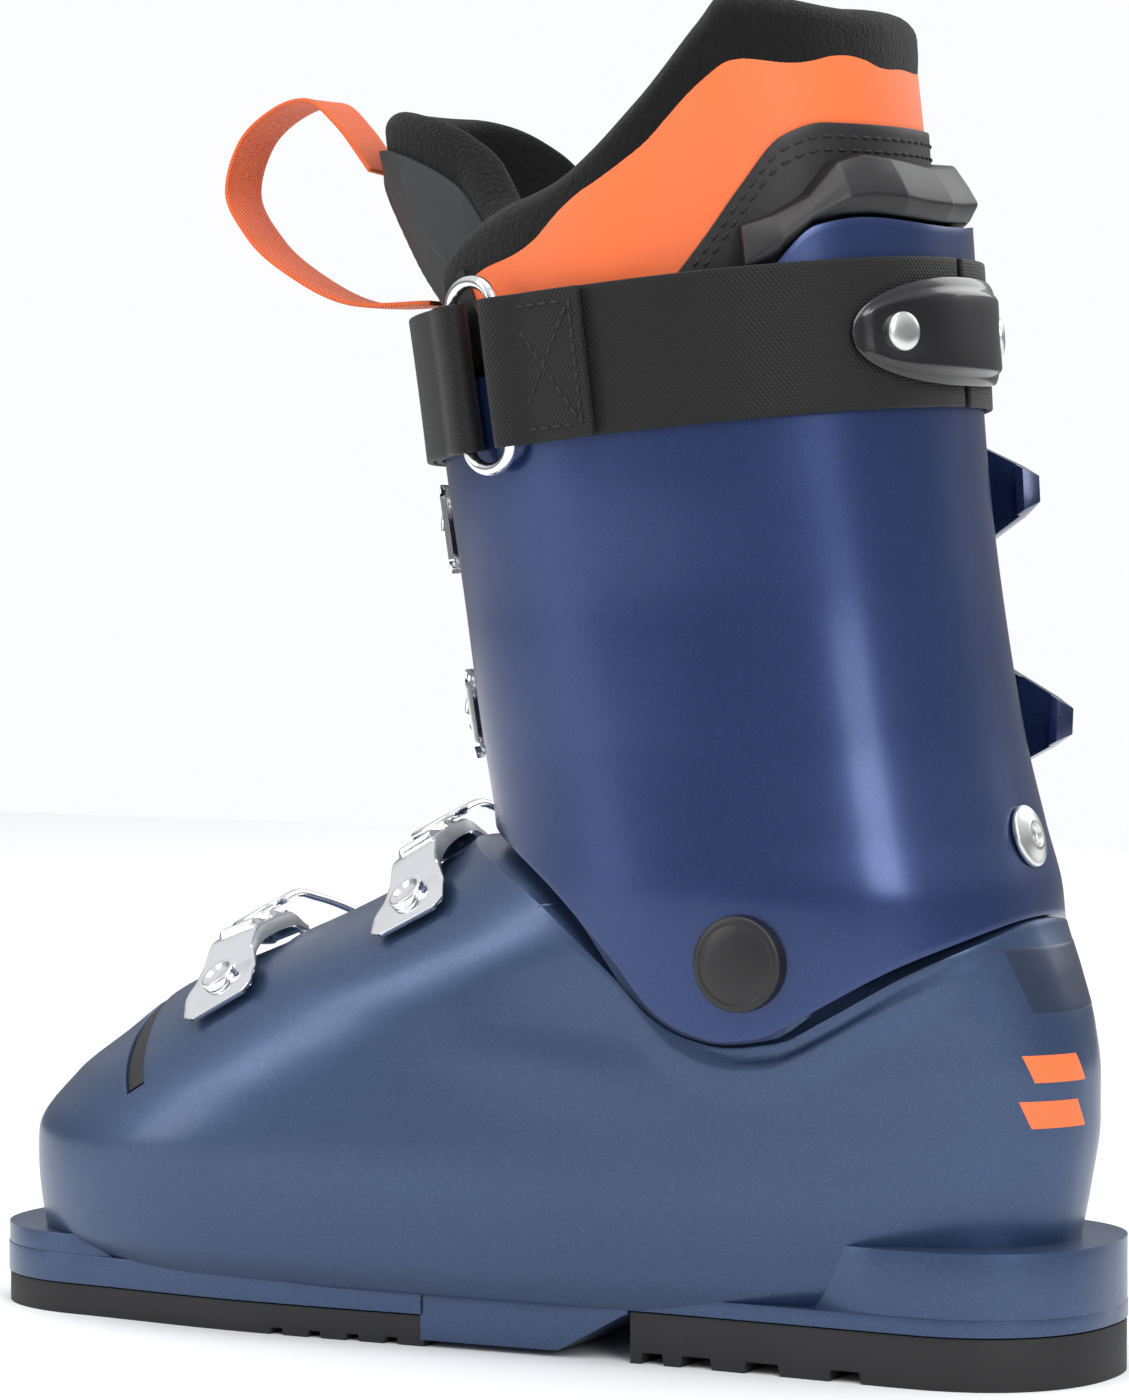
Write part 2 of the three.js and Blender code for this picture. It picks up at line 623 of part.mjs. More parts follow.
const ANCHOR_HALF_ANGLE = 34;
const ANCHOR_RIVET_ANGLE = 23;
const anchorLow = FIT * 2 + WEBBING;
const strapAnchor = () => ribbon(strapPath(steps(24, 180 - ANCHOR_HALF_ANGLE, 180 + ANCHOR_HALF_ANGLE)),
  (frame, u) => {
    const end = Math.abs(2 * u - 1);
    return { half: 3 + 9 * (1 - end ** 2.6) ** 0.5, low: anchorLow, high: anchorLow + 1.2 + 1.6 * (1 - end ** 4) };
  });

// ---------------------------------------------------------------- buckles

const ridge = V(Math.sin(rad(30)), 0, Math.cos(rad(30)));
const buckles = [
  { id: 1, form: foot, on: 'shell', origin: V(51 * stretch.x, 0, 51 * stretch.z), ahead: ridge,
    ladder: [54, -6], rivet: 43, base: -58, tip: -106, arch: 4, standOff: 9 },
  { id: 2, form: foot, on: 'shell', origin: V(1 * stretch.x, 0, 74 * stretch.z), ahead: ridge,
    ladder: [56, -6], rivet: 45, base: -58, tip: -106, arch: 4, standOff: 9 },
  { id: 3, form: cuff, on: 'cuff', origin: V(-45 * stretch.x, 0, 142 * stretch.z),
    ahead: V(1, 0, 0.035).normalize(), ladder: [17, -24], rivet: 9, base: -61, tip: -142, arch: 1.2, standOff: 21 },
  { id: 4, form: cuff, on: 'cuff', origin: V(-45 * stretch.x, 0, 190 * stretch.z),
    ahead: V(1, 0, -0.064).normalize(), ladder: [17, -24], rivet: 9, base: -61, tip: -140, arch: 1.2, standOff: 17 },
];

const frameAt = (b, degrees) => b.form.path(b.origin, b.ahead, [rad(degrees)])[0];

const TEETH = [0.52, 0.69, 0.86];    // where each tooth's steep face stands along the ladder
const TOOTH_LENGTH = 0.15;
const HOOK_AT = 0.8;                 // the bail's bar lies just short of the last tooth
const LADDER_THICK = 2;

// the ladder lies flat at its riveted end, arches up into stepped teeth and comes down again
function ladder(b) {
  const [from, to] = b.ladder;
  const frames = b.form.path(b.origin, b.ahead, steps(27, from, to).map(rad));
  const body = ribbon(frames, (frame, u) => {
    const rise = b.arch * smooth(0.22, 0.5, u) * (1 - 0.8 * smooth(0.8, 1, u));
    const teeth = TEETH.reduce((high, at) => {
      const past = (u - at) / TOOTH_LENGTH;
      return past >= 0 && past < 1 ? Math.max(high, 1.8 * (1 - past)) : high;
    }, 0);
    const half = lerp(10.5, 7.5, smooth(0.1, 0.4, u)) * (1 - 0.25 * smooth(0.85, 1, u));
    return { half, low: SEAT + rise, high: SEAT + LADDER_THICK + rise + teeth };
  });
  const rivet = frameAt(b, b.rivet);
  return body.subtract(rod(RIVET_R + RUN, rivet.p, rivet.n, -2, 12, 10));
}

function rivetSolid(spot, under, headR = 4.6) {
  const shaft = RIVET_R;
  return turned([[0, -2.8], [shaft, -2.8], [shaft, under], [headR, under], [headR, under + 0.8],
    [headR * 0.6, under + 1.6], [0, under + 1.8]], spot.p, spot.n, 10);
}

// local axes of a lever: t to its tip, n outward, w along its pins
function leverAxes(b) {
  const base = frameAt(b, b.base);
  const tip = frameAt(b, b.tip);
  const pivot = base.p.clone().addScaledVector(base.n, PIN_HEIGHT);
  const end = tip.p.clone().addScaledVector(tip.n, b.standOff);
  const w = base.w.clone();
  const along = end.clone().sub(pivot);
  along.addScaledVector(w, -along.dot(w));
  const t = along.clone().normalize();
  const n = t.clone().cross(w).normalize();
  if (n.dot(base.n) < 0) n.negate();
  const side = n.clone().cross(t).normalize();
  return { base, pivot, t, n, w: side, length: along.length() };
}

const outline = (points) => new THREE.Shape(points.map(([x, y]) => new THREE.Vector2(x, y)));

function leverSolid(b, axes) {
  const { pivot, t, n, length } = axes;
  const side = t.clone().cross(n);
  const matrix = (offset) => place(pivot.clone().addScaledVector(side, offset), t, n, side);
  const half = LEVER_WIDTH / 2;
  const crown = 5.4;
  const outer = outline([[-4, -1.5], [-1.5, -4], [6, -4], [14, -3.2], [length - 10, 0.5], [length - 3, 1],
    [length, 3.4], [length - 5, crown + 0.2], [length * 0.55, crown + 0.6], [12, crown], [9, 3.4], [0, 3.6],
    [-3, 2.4]]);
  const hollow = outline([[-9, -9], [length - 4, -9], [length - 5, 2.6], [length * 0.55, crown - 1.6],
    [13, crown - 2], [10.5, 9], [-9, 9]]);
  const body = extrude(outer, LEVER_WIDTH, matrix(-half))
    .subtract(extrude(hollow, LEVER_WIDTH - 2 * LEVER_WALL, matrix(-half + LEVER_WALL)));
  const bailPivot = bailPin(axes);
  const plan = outline([[-6, -half], [length - 16, -half], [length - 4, -half * 0.45], [length + 1, -half * 0.2],
    [length + 1, half * 0.2], [length - 4, half * 0.45], [length - 16, half], [-6, half]]);
  const trimmed = body.intersect(extrude(plan, 40, place(pivot.clone().addScaledVector(n, -20), t, side.clone().negate(), n)));
  return trimmed
    .subtract(rod(PIN_R + RUN, pivot, side, -half - 1, half + 1, 8))
    .subtract(rod(PIN_R + RUN, bailPivot, side, -half - 1, half + 1, 8));
}

const bailPin = ({ pivot, t, n }) => pivot.clone().addScaledVector(t, BAIL_REACH).addScaledVector(n, 1);

// the riveted foot plate with two ears between the bail's strands
function leverBase(b, axes) {
  const { base, pivot, t, n } = axes;
  const side = t.clone().cross(n);
  const matrix = (offset) => place(pivot.clone().addScaledVector(side, offset), t, n, side);
  const plateTop = 2.6 - PIN_HEIGHT;
  const ear = () => outline([[-5, plateTop], [5, plateTop], [3, 0], [1.6, 2.2], [-1.6, 2.2], [-3, 0]]);
  const ears = extrude(ear(), 2, matrix(-5)).add(extrude(ear(), 2, matrix(3)));
  const angles = steps(8, b.base + b.plateAhead, b.base - b.plateBehind).map(rad);
  const plate = ribbon(b.form.path(b.origin, b.ahead, angles), () => ({ half: 8.5, low: SEAT, high: SEAT + 2 }));
  const spot = frameAt(b, b.base + b.baseRivet);
  return plate.add(ears)
    .subtract(rod(PIN_R + RUN, pivot, side, -9, 9, 8))
    .subtract(rod(RIVET_R + RUN, spot.p, spot.n, -3, 6, 10));
}

// wire bail: an eye on the bail pin at each side, strands over the shell and a bar behind a tooth
function bailSolid(b, axes) {
  const { pivot, t, n } = axes;
  const side = t.clone().cross(n);
  const eyeCentre = bailPin(axes);
  const over = pivot.clone().addScaledVector(n, 3.6);
  const hookAngle = lerp(b.ladder[0], b.ladder[1], HOOK_AT);
  const hook = frameAt(b, hookAngle);
  const toothHeight = SEAT + LADDER_THICK + b.arch + BAIL_WIRE_R + 3 * FIT;
  const mid = steps(4, b.base + b.clearAhead, hookAngle - 14).map((a, i) => {
    const frame = frameAt(b, a);
    return frame.p.clone().addScaledVector(frame.n, lerp(7.6, toothHeight + 1.9, i / 4));
  });
  const bar = hook.p.clone().addScaledVector(hook.n, toothHeight);
  const bend = bar.clone().sub(mid.at(-1)).setLength(-2.2).add(bar);
  const shifted = (p, to) => p.clone().addScaledVector(side, to - side.dot(p.clone().sub(pivot)));
  const strand = (sign) => [...[eyeCentre, over, ...mid, bend].map((p) => shifted(p, sign * BAIL_HALF)),
    shifted(bar, sign * (BAIL_HALF - 2.2))];
  const [one, two] = [strand(1), strand(-1)];
  const tube = wire(along([...one, ...two.reverse()], 40), BAIL_WIRE_R, { sides: 6 });
  const eye = (sign) => rod(PIN_R + RUN + 1.2, eyeCentre, side, sign * BAIL_HALF - 1.3, sign * BAIL_HALF + 1.3, 10);
  return tube.add(eye(1)).add(eye(-1)).subtract(rod(PIN_R + RUN, eyeCentre, side, -12, 12, 10));
}

const NAVY = 0x2f4370;
const STEEL = 0xc9ccd0;
const BLACK = 0x17181a;
const ORANGE = 0xff6a2b;

const holes = { shell: [], cuff: [] };
for (const b of buckles) {
  const small = b.on === 'shell';
  Object.assign(b, small ? { plateAhead: 14, plateBehind: 16, baseRivet: 8, clearAhead: 18 }
    : { plateAhead: 12, plateBehind: 12, baseRivet: 8, clearAhead: 15 });
  const axes = leverAxes(b);
  const side = axes.t.clone().cross(axes.n);
  const ladderRivet = frameAt(b, b.rivet);
  const baseRivet = frameAt(b, b.base + b.baseRivet);
  for (const spot of [ladderRivet, baseRivet]) {
    holes[b.on].push(rod(RIVET_R + RUN, spot.p, spot.n, -3.4, 3, 10));
  }
  node(`ladder_${b.id}`, ladder(b), STEEL, 0.15, 1);
  node(`ladder_rivet_${b.id}`, rivetSolid(ladderRivet, SEAT + LADDER_THICK + FIT), STEEL, 0.2, 1);
  node(`lever_base_${b.id}`, leverBase(b, axes), BLACK, 0.5);
  node(`lever_base_rivet_${b.id}`, rivetSolid(baseRivet, SEAT + 2 + FIT, 2.6), STEEL, 0.2, 1);
  node(`lever_${b.id}`, leverSolid(b, axes), NAVY, 0.35, 0.3);
  const half = LEVER_WIDTH / 2;
  node(`lever_pin_${b.id}`, rod(PIN_R, axes.pivot, side, -half, half, 8), STEEL, 0.2, 1);
  node(`bail_${b.id}`, bailSolid(b, axes), STEEL, 0.15, 1);
  node(`bail_pin_${b.id}`, rod(PIN_R, bailPin(axes), side, -half, half, 8), STEEL, 0.2, 1);
}

// ---------------------------------------------------------------- pivots, bolt and gasket

const hinge = V(PIVOT.x * stretch.x, 0, PIVOT.z * stretch.z);

function pivotSide(sign) {
  const out = V(0, sign, 0);
  const rim = steps(8, 0, 2 * Math.PI).map((a) =>
    V(hinge.x + PIVOT_CAP_R * Math.cos(a), 0, hinge.z + PIVOT_CAP_R * Math.sin(a)));
  const skinAt = Math.max(...[hinge, ...rim].map((spot) => cuff.cast(spot, out).y * sign));
  const wallAt = cavity.cast(hinge, out).y * sign;
  const origin = V(hinge.x, 0, hinge.z);
  const cap = turned([[0, wallAt + 0.2], [PIVOT_SHAFT_R, wallAt + 0.2], [PIVOT_SHAFT_R, skinAt + FIT],
    [PIVOT_CAP_R, skinAt + FIT], [PIVOT_CAP_R, skinAt + 1.6], [PIVOT_CAP_R - 1.5, skinAt + 2.5],
    [0, skinAt + 2.9]], origin, out, 20);
  const nut = turned([[PIVOT_SHAFT_R + RUN, wallAt + 0.1], [8, wallAt + 0.1], [8, wallAt + 1.7],
    [PIVOT_SHAFT_R + RUN, wallAt + 1.7], [PIVOT_SHAFT_R + RUN, wallAt + 0.1]], origin, out, 16);
  const bore = rod(PIVOT_SHAFT_R + RUN, origin, out, wallAt - 12, skinAt + 12);
  const pocket = rod(8 + RUN, origin, out, wallAt - 12, wallAt + 2);
  return { cap, nut, bore, pocket };
}
const medial = pivotSide(1);
const lateral = pivotSide(-1);

const boltSpot = cuff.cast(V(-45 * stretch.x, 0, SPINE_BOLT_Z * stretch.z), V(-1, 0, 0));
const boltAxis = cuff.normal(boltSpot);
const nutDepth = CUFF_WALL + 1 + flexShift(boltSpot.z) + SHELL_WALL + 1.2;
const spineBolt = turned([[0, -nutDepth - 2.4], [SPINE_SHAFT_R, -nutDepth - 2.4], [SPINE_SHAFT_R, FIT],
  [SPINE_BOLT_R, FIT], [SPINE_BOLT_R, 1.3], [SPINE_BOLT_R - 1.4, 2.3], [2.2, 2.5], [2.2, 0.9], [0, 0.9]],
boltSpot, boltAxis, 20);
const spineNut = turned([[SPINE_SHAFT_R + RUN, -nutDepth - 2.2], [6, -nutDepth - 2.2], [6, -nutDepth],
  [SPINE_SHAFT_R + RUN, -nutDepth], [SPINE_SHAFT_R + RUN, -nutDepth - 2.2]], boltSpot, boltAxis, 16);

// the bolt travels with the cuff, so its slot in the shell is cut at steps of that turn
function boltSlot() {
  return steps(4, 0, FLEX_ANGLE).map((angle) => {
    const turn = new THREE.Matrix4().makeTranslation(hinge.x, 0, hinge.z)
      .multiply(new THREE.Matrix4().makeRotationY(rad(angle)))
      .multiply(new THREE.Matrix4().makeTranslation(-hinge.x, 0, -hinge.z));
    const spot = boltSpot.clone().applyMatrix4(turn);
    const axis = boltAxis.clone().applyAxisAngle(V(0, 1, 0), rad(angle));
    return rod(SPINE_SHAFT_R + RUN + 0.1, spot, axis, -30, -CUFF_WALL, 14);
  });
}

const gasketOrigin = V(70 * stretch.x, 0, 28 * stretch.z);
const gasketPath = foot.path(gasketOrigin, ridge, steps(14, -52, 52).map(rad));
const toeGasket = ribbon(gasketPath, () => ({ half: 2.6, low: -1.4, high: -0.2 }));
const gasketGroove = ribbon(foot.path(gasketOrigin, ridge, steps(14, -53, 53).map(rad)),
  () => ({ half: 2.6 + RUN, low: -1.8, high: 3 }));

// the flaps over the forefoot part along the ridge, from the gasket back to the throat
const flapSlit = block(-30 * stretch.x, gasketPath[7].p.x - 4, -5.5, -4.7, 62 * stretch.z, 160 * stretch.z);

// a rounded relief in the edge of the cuff's outer flap, between its two buckles
const relief = ribbon(cuffPath(164 * stretch.z, 0.03, steps(12, -14, 21).map(rad)),
  (frame, u) => ({ half: 5 * (1 - 0.5 * smooth(0.75, 1, u)), low: -CUFF_WALL - 0.15, high: 4 }));

const strapRivets = [1, -1].map((sign) => strapPath([180 - sign * ANCHOR_RIVET_ANGLE])[0]);
const rivetHole = (spot) => rod(RIVET_R + RUN, spot.p, spot.n, -3.8, 12, 10);

const shell = cut(lowerShell(), [
  ...holes.shell, medial.bore, lateral.bore, medial.pocket, lateral.pocket, ...boltSlot(), gasketGroove, flapSlit,
]);
const cuffBody = cut(cuffShell(), [
  ...holes.cuff, medial.bore, lateral.bore, ...strapRivets.map(rivetHole), relief,
  rod(SPINE_SHAFT_R + RUN, boltSpot, boltAxis, -8, 8, 14),
]);

node('lower_shell', shell, NAVY, 0.4, 0.3);
node('toe_sole_pad', toePad, BLACK, 0.8);
node('heel_sole_pad', heelPad, BLACK, 0.8);
node('toe_gasket', toeGasket, BLACK, 0.6);
node('boot_board', bootBoard(), 0x4a4c50, 0.7);
node('insole', insole(), 0x303236, 0.9);
node('liner_foot', linerFoot(), 0x26272a, 0.95);
node('cuff_shell', cuffBody, NAVY, 0.4, 0.3);
node('calf_spoiler', calfSpoiler(), BLACK, 0.4);
node('liner_upper', linerCuff(), ORANGE, 0.7);
node('liner_tongue', linerTongue(), 0x111214, 0.95);
node('tongue_shell', tongueShell(), 0x3a3b3d, 0.6);
node('pull_loop', pullLoop(), ORANGE, 0.8);
node('pivot_cap_medial', medial.cap, BLACK, 0.4);
node('pivot_cap_lateral', lateral.cap, BLACK, 0.4);
node('pivot_nut_medial', medial.nut, STEEL, 0.3, 1);
node('pivot_nut_lateral', lateral.nut, STEEL, 0.3, 1);
node('spine_bolt', spineBolt, STEEL, 0.2, 1);
node('spine_nut', spineNut, STEEL, 0.3, 1);
node('strap_long', cut(strapLong(), strapRivets.map(rivetHole)), BLACK, 0.9);
node('strap_short', cut(strapShort(), strapRivets.map(rivetHole)), BLACK, 0.9);
node('strap_ring', strapRing(), STEEL, 0.15, 1);
node('strap_anchor', cut(strapAnchor(), strapRivets.map(rivetHole)), BLACK, 0.25);
node('anchor_rivet_medial', rivetSolid(strapRivets[0], anchorLow + 2.8 + FIT, 4.3), STEEL, 0.2, 1);
node('anchor_rivet_lateral', rivetSolid(strapRivets[1], anchorLow + 2.8 + FIT, 4.3), STEEL, 0.2, 1);

// ---------------------------------------------------------------- assembly

const boot = new THREE.Group();
for (const part of parts) {
  const material = new THREE.MeshStandardMaterial({
    color: part.colour, roughness: part.roughness, metalness: part.metalness });
  const mesh = new THREE.Mesh(toGeometry(part.solid), material);
  mesh.name = part.name;
  boot.add(mesh);
}

// The levers stand out on one side only, so the boot is moved across to stand midway on the origin.
const bounds = new THREE.Box3().setFromObject(boot);
boot.position.y = -(bounds.min.y + bounds.max.y) / 2;

const model = new THREE.Group();
model.add(boot);

export default model;
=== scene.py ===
"""Alpine ski boot for the right foot: the looks of every visible piece, laid over the solid parts.

Lengths are in millimetres until a piece is laid down; `metres` takes them to the frame. +X points to the
toe, +Y to the inner side of the foot, and the sole stands on z = 0.
"""
import math

import bpy
import numpy as np
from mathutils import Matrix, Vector


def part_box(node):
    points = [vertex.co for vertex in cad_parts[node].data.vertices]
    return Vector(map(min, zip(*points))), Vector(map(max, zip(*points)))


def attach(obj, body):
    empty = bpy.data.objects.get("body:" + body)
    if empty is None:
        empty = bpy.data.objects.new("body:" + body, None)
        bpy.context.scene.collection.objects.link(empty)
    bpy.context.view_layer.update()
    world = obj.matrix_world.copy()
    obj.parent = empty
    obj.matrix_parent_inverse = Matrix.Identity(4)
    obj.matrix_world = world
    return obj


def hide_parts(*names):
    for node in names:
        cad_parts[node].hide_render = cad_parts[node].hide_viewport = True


bl_info = {
    "name": "Alpine Ski Boot",
    "version": (1, 0, 0),
    "blender": (4, 5, 0),
    "location": "3D View > Sidebar > Ski Boot",
    "description": "Builds the shell, cuff, liner, buckles and strap of an alpine ski boot",
    "category": "Add Mesh",
}

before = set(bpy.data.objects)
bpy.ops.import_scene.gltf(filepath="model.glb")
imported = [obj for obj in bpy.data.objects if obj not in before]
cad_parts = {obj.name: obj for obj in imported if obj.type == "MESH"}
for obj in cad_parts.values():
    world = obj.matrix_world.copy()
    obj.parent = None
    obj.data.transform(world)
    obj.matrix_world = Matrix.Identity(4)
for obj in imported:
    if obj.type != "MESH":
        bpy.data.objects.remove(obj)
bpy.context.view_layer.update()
MM = 0.001
SHIFT = sum(corner.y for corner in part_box("toe_sole_pad")) / 2 / MM

# ---------------------------------------------------------------- sizes shared with the solid parts

FIT = 0.4
SEAT = 1.0
RUN = 0.3
FLEX_ANGLE = math.radians(3)
HINGE_X, HINGE_Z = -76.5, 92.3
SOLE_END = 142.2
BAND_TOP = 13.5
TOE_PAD_TOP, HEEL_PAD_TOP = 7.0, 11.5
TOE_LUG_TOP, HEEL_LUG_TOP = 19.0, 30.0
STRAP_HALF = 16.5
WEBBING = 1.7
RING_WIRE = 1.5
PIN_R = 1.5
PIN_HEIGHT = 8.0
LEVER_HALF = 12.0
BAIL_REACH = 7.0
BAIL_WIRE = 1.2
BAIL_HALF = 7.0
LADDER_THICK = 2.0
HOOK_AT = 0.8
TEETH = (0.52, 0.69, 0.86)
TOOTH_LENGTH = 0.15
TONGUE_WALL = 1.6
PANEL_FOOT = 222.0
CUFF_SPAN = (60, 320)


# ---------------------------------------------------------------- curves and forms


def lerp(a, b, u):
    return a + (b - a) * u


def smooth(a, b, x):
    u = np.clip((np.asarray(x, float) - a) / (b - a), 0, 1)
    return u * u * (3 - 2 * u)


def curve(points):
    """A monotone cubic through points sorted by their first value."""
    xs, ys = np.array(points, float).T
    rise = np.diff(ys) / np.diff(xs)
    slope = np.concatenate([rise[:1], rise[1:], rise[-1:]])
    a, b = rise[:-1], rise[1:]
    total = np.where(a * b > 0, a + b, 1)
    slope[1:-1] = np.where(a * b > 0, 2 * a * b / total, 0)

    def at(x):
        x = np.clip(np.asarray(x, float), xs[0], xs[-1])
        i = np.clip(np.searchsorted(xs, x) - 1, 0, len(xs) - 2)
        h = xs[i + 1] - xs[i]
        u = (x - xs[i]) / h
        low = (1 + 2 * u) * (1 - u) ** 2 * ys[i] + u * (1 - u) ** 2 * h * slope[i]
        return low + u * u * (3 - 2 * u) * ys[i + 1] + u * u * (u - 1) * h * slope[i + 1]

    return at


class Form:
    """A stack of rounded level sections: read(z) gives front, rear, inner, outer, widest, nose, heel."""

    def __init__(self, read):
        self.read = read

    def point(self, t, z, inset=0.0):
        front, rear, inner, outer, widest, nose, heel = self.read(z)
        c, s = np.cos(t), np.sin(t)
        square = np.where(c > 0, nose, heel)
        reach = np.where(c > 0, front - inset - widest, widest - rear - inset)
        side = np.where(s > 0, inner, outer) - inset
        x = widest + reach * np.sign(c) * np.abs(c) ** (2 / square)
        y = side * np.sign(s) * np.abs(s) ** (2 / square)
        return np.stack(np.broadcast_arrays(x, y, np.asarray(z, float)), -1)

    def field(self, p):
        front, rear, inner, outer, widest, nose, heel = self.read(p[..., 2])
        ahead = p[..., 0] > widest
        u = np.abs(p[..., 0] - widest) / np.where(ahead, front - widest, widest - rear)
        v = np.abs(p[..., 1]) / np.where(p[..., 1] > 0, inner, outer)
        square = np.where(ahead, nose, heel)
        return u**square + v**square - 1

    def normal(self, p):
        h = 0.05
        steps = np.eye(3) * h
        grad = np.stack([self.field(p + d) - self.field(p - d) for d in steps], -1)
        return unit(grad)

    def cast(self, origin, direction):
        near = np.zeros(direction.shape[:-1])
        far = np.full(direction.shape[:-1], 200.0)
        for _ in range(40):
            mid = (near + far) / 2
            inside = self.field(origin + direction * mid[..., None]) < 0
            near, far = np.where(inside, mid, near), np.where(inside, far, mid)
        return origin + direction * near[..., None]

    def crossing(self, t, line, low, high, inset=None):
        a = np.full(np.shape(t), float(low))
        b = np.full(np.shape(t), float(high))
        for _ in range(40):
            mid = (a + b) / 2
            pull = inset(t, mid) if inset else 0.0
            below = mid < line(self.point(t, mid, pull)[..., 0])
            a, b = np.where(below, mid, a), np.where(below, b, mid)
        return (a + b) / 2

    def path(self, origin, ahead, degrees):
        """Frames p, n, w, t along the cut of a leaning plane, at angles from `ahead` to the inner side."""
        angles = np.radians(np.asarray(degrees, float))

        def spot(a):
            direction = np.cos(a)[:, None] * ahead + np.sin(a)[:, None] * np.array([0.0, 1.0, 0.0])
            return self.cast(np.asarray(origin, float), direction)

        p = spot(angles)
        n = self.normal(p)
        w = unit(np.cross(unit(spot(angles + 0.01) - spot(angles - 0.01)), n))
        return {"p": p, "n": n, "w": w, "t": np.cross(n, w), "u": np.linspace(0, 1, len(p))}


def unit(v):
    v = np.asarray(v, float)
    return v / np.linalg.norm(v, axis=-1, keepdims=True)


RIDGE = unit((math.sin(math.radians(30)), 0, math.cos(math.radians(30))))


def form_from(rows, heel):
    rows = np.array(rows, float)
    columns = [curve(rows[:, [0, k]]) for k in range(1, 7)]
    return Form(lambda z: (*[column(z) for column in columns], heel))


#   height, front, rear, inner, outer, widest, nose
foot = form_from([
    [12, 122, -130, 37, 39, 55, 2.5], [20, 131, -131, 43, 46, 55, 2.5], [42, 132, -135, 49, 53, 50, 2.4],
    [56, 122, -137, 48, 52, 38, 2.3], [66, 109, -137, 47, 50, 22, 2.2], [77, 94, -135.5, 46, 48, 0, 2.1],
    [88, 66.5, -132, 46, 47, -22, 2.05], [99, 41, -127.5, 46, 47, -45, 2], [110, 20, -124, 46, 46, -60, 2],
    [122, 6, -117, 45, 45, -66, 2], [134, -7, -112, 44, 44, -66, 2], [150, -22, -106, 44, 44, -66, 2],
], 2.3)
cuff = form_from([
    [75, 5, -127.5, 50, 50, -66, 2.2], [105, 5, -125, 51, 51, -66, 2.2], [120, 6, -121, 50, 50, -62, 2.2],
    [140, 9.5, -116, 49, 49, -56, 2.2], [165, 13, -111.5, 49, 49, -49, 2.2], [200, 18, -106.5, 51, 51, -43, 2.2],
    [250, 24.5, -102.5, 53, 53, -38, 2.2], [310, 30, -98, 53, 53, -36, 2.2],
], 2.25)

cuff_hem = curve([(-132, 106), (-122, 99), (-107, 91), (-90, 81), (-80, 76), (-71, 75), (-62, 77), (-54, 81.5),
                  (-44, 92), (-24, 108), (-8, 116), (8, 121.5)])
cuff_top = curve([(-112, 249.5), (-96, 254), (-88, 252), (-78, 240), (-55, 226), (-20, 220), (24, 219)])
collar_top = curve([(-118, 164), (-90, 162), (-60, 150), (-30, 136), (-12, 131)])
liner_top = curve([(-86, 301), (-66, 303.7), (-60, 297), (-48, 280), (-38, 270), (-26, 262), (-8, 256), (8, 246),
                   (20, 232)])
spoiler_top = curve([(-104, 262), (-100, 267), (-94, 268), (-88, 259), (-78, 253), (-66, 250)])
trim_top = curve([(-104, 275), (-92, 275), (-84, 272), (-75, 261), (-66, 249), (-56, 238), (-44, 231)])


def tucked_core(cuff_wall):
    """The lower shell's surface where it steps in under the cuff."""

    def read(z):
        f, k = foot.read(z), cuff.read(z)
        turn = math.sin(FLEX_ANGLE) * np.maximum(0, z - HINGE_Z)
        behind = k[1] + cuff_wall + 1.3 + turn
        rise = smooth(105, 130, z)
        step = lerp(FIT, 4.8, smooth(80, 102, z))
        throat = smooth(102, 113, z)

        def side(a, b):
            return np.minimum(lerp(a - step, b, rise), b - cuff_wall - 1.7)

        front = f[0] - step
        front = lerp(front, np.minimum(front, k[0] - cuff_wall - 1.5), throat)
        rear = lerp(f[1] + FIT, np.maximum(behind, f[1] + FIT), smooth(60, 100, z))
        nose = lerp(f[5], 1.9, smooth(86, 108, z))
        return front, rear, side(f[2], k[2]), side(f[3], k[3]), lerp(f[4], k[4], rise), nose, f[6]

    return Form(read)


def cuff_path(z, rise, degrees):
    return cuff.path((-45, 0, z), unit((1, 0, -rise)), degrees)


# ---------------------------------------------------------------- laying down meshes


def metres(points):
    return (np.asarray(points, float) + (0, SHIFT, 0)) * MM


def at(point):
    return Vector(metres(point))


def clear_selection():
    if bpy.context.object and bpy.context.object.mode != "OBJECT":
        bpy.ops.object.mode_set(mode="OBJECT")
    bpy.ops.object.select_all(action="DESELECT")


def pick(obj):
    clear_selection()
    obj.select_set(True)
    bpy.context.view_layer.objects.active = obj
    return obj


def in_edit(obj, *steps, kind="VERT"):
    """Run edit-mode steps on a piece with all of it selected."""
    pick(obj)
    bpy.ops.object.mode_set(mode="EDIT")
    bpy.ops.mesh.select_mode(type=kind)
    bpy.ops.mesh.select_all(action="SELECT")
    for step in steps:
        step()
    bpy.ops.object.mode_set(mode="OBJECT")
    return obj


def weld(obj, distance=0.01):
    return in_edit(obj, lambda: bpy.ops.mesh.remove_doubles(threshold=distance * MM))


def face_out(obj):
    return in_edit(obj, lambda: bpy.ops.mesh.normals_make_consistent(inside=False))


def modify(obj, kind, **values):
    pick(obj)
    modifier = obj.modifiers.new(kind.title(), kind)
    for name, value in values.items():
        setattr(modifier, name, value)
    bpy.ops.object.modifier_apply(modifier=modifier.name)
    return obj


def thicken(obj, wall, offset=-1.0):
    return modify(obj, "SOLIDIFY", thickness=wall * MM, offset=offset, use_even_offset=True, use_rim=True)


def round_edges(obj, width, segments=3, angle=50):
    return modify(obj, "BEVEL", width=width * MM, segments=segments, limit_method="ANGLE",
                  angle_limit=math.radians(angle), miter_outer="MITER_ARC")


def shade(obj, angle=35):
    pick(obj)
    bpy.ops.object.shade_smooth_by_angle(angle=math.radians(angle))
    return obj


def walled(obj, wall, rounding, smoothing, segments=2, edge=50, offset=-1.0):
    """Give a sheet its wall, round its edges and shade it."""
    thicken(obj, wall, offset)
    round_edges(obj, rounding, segments, edge)
    return shade(obj, smoothing)


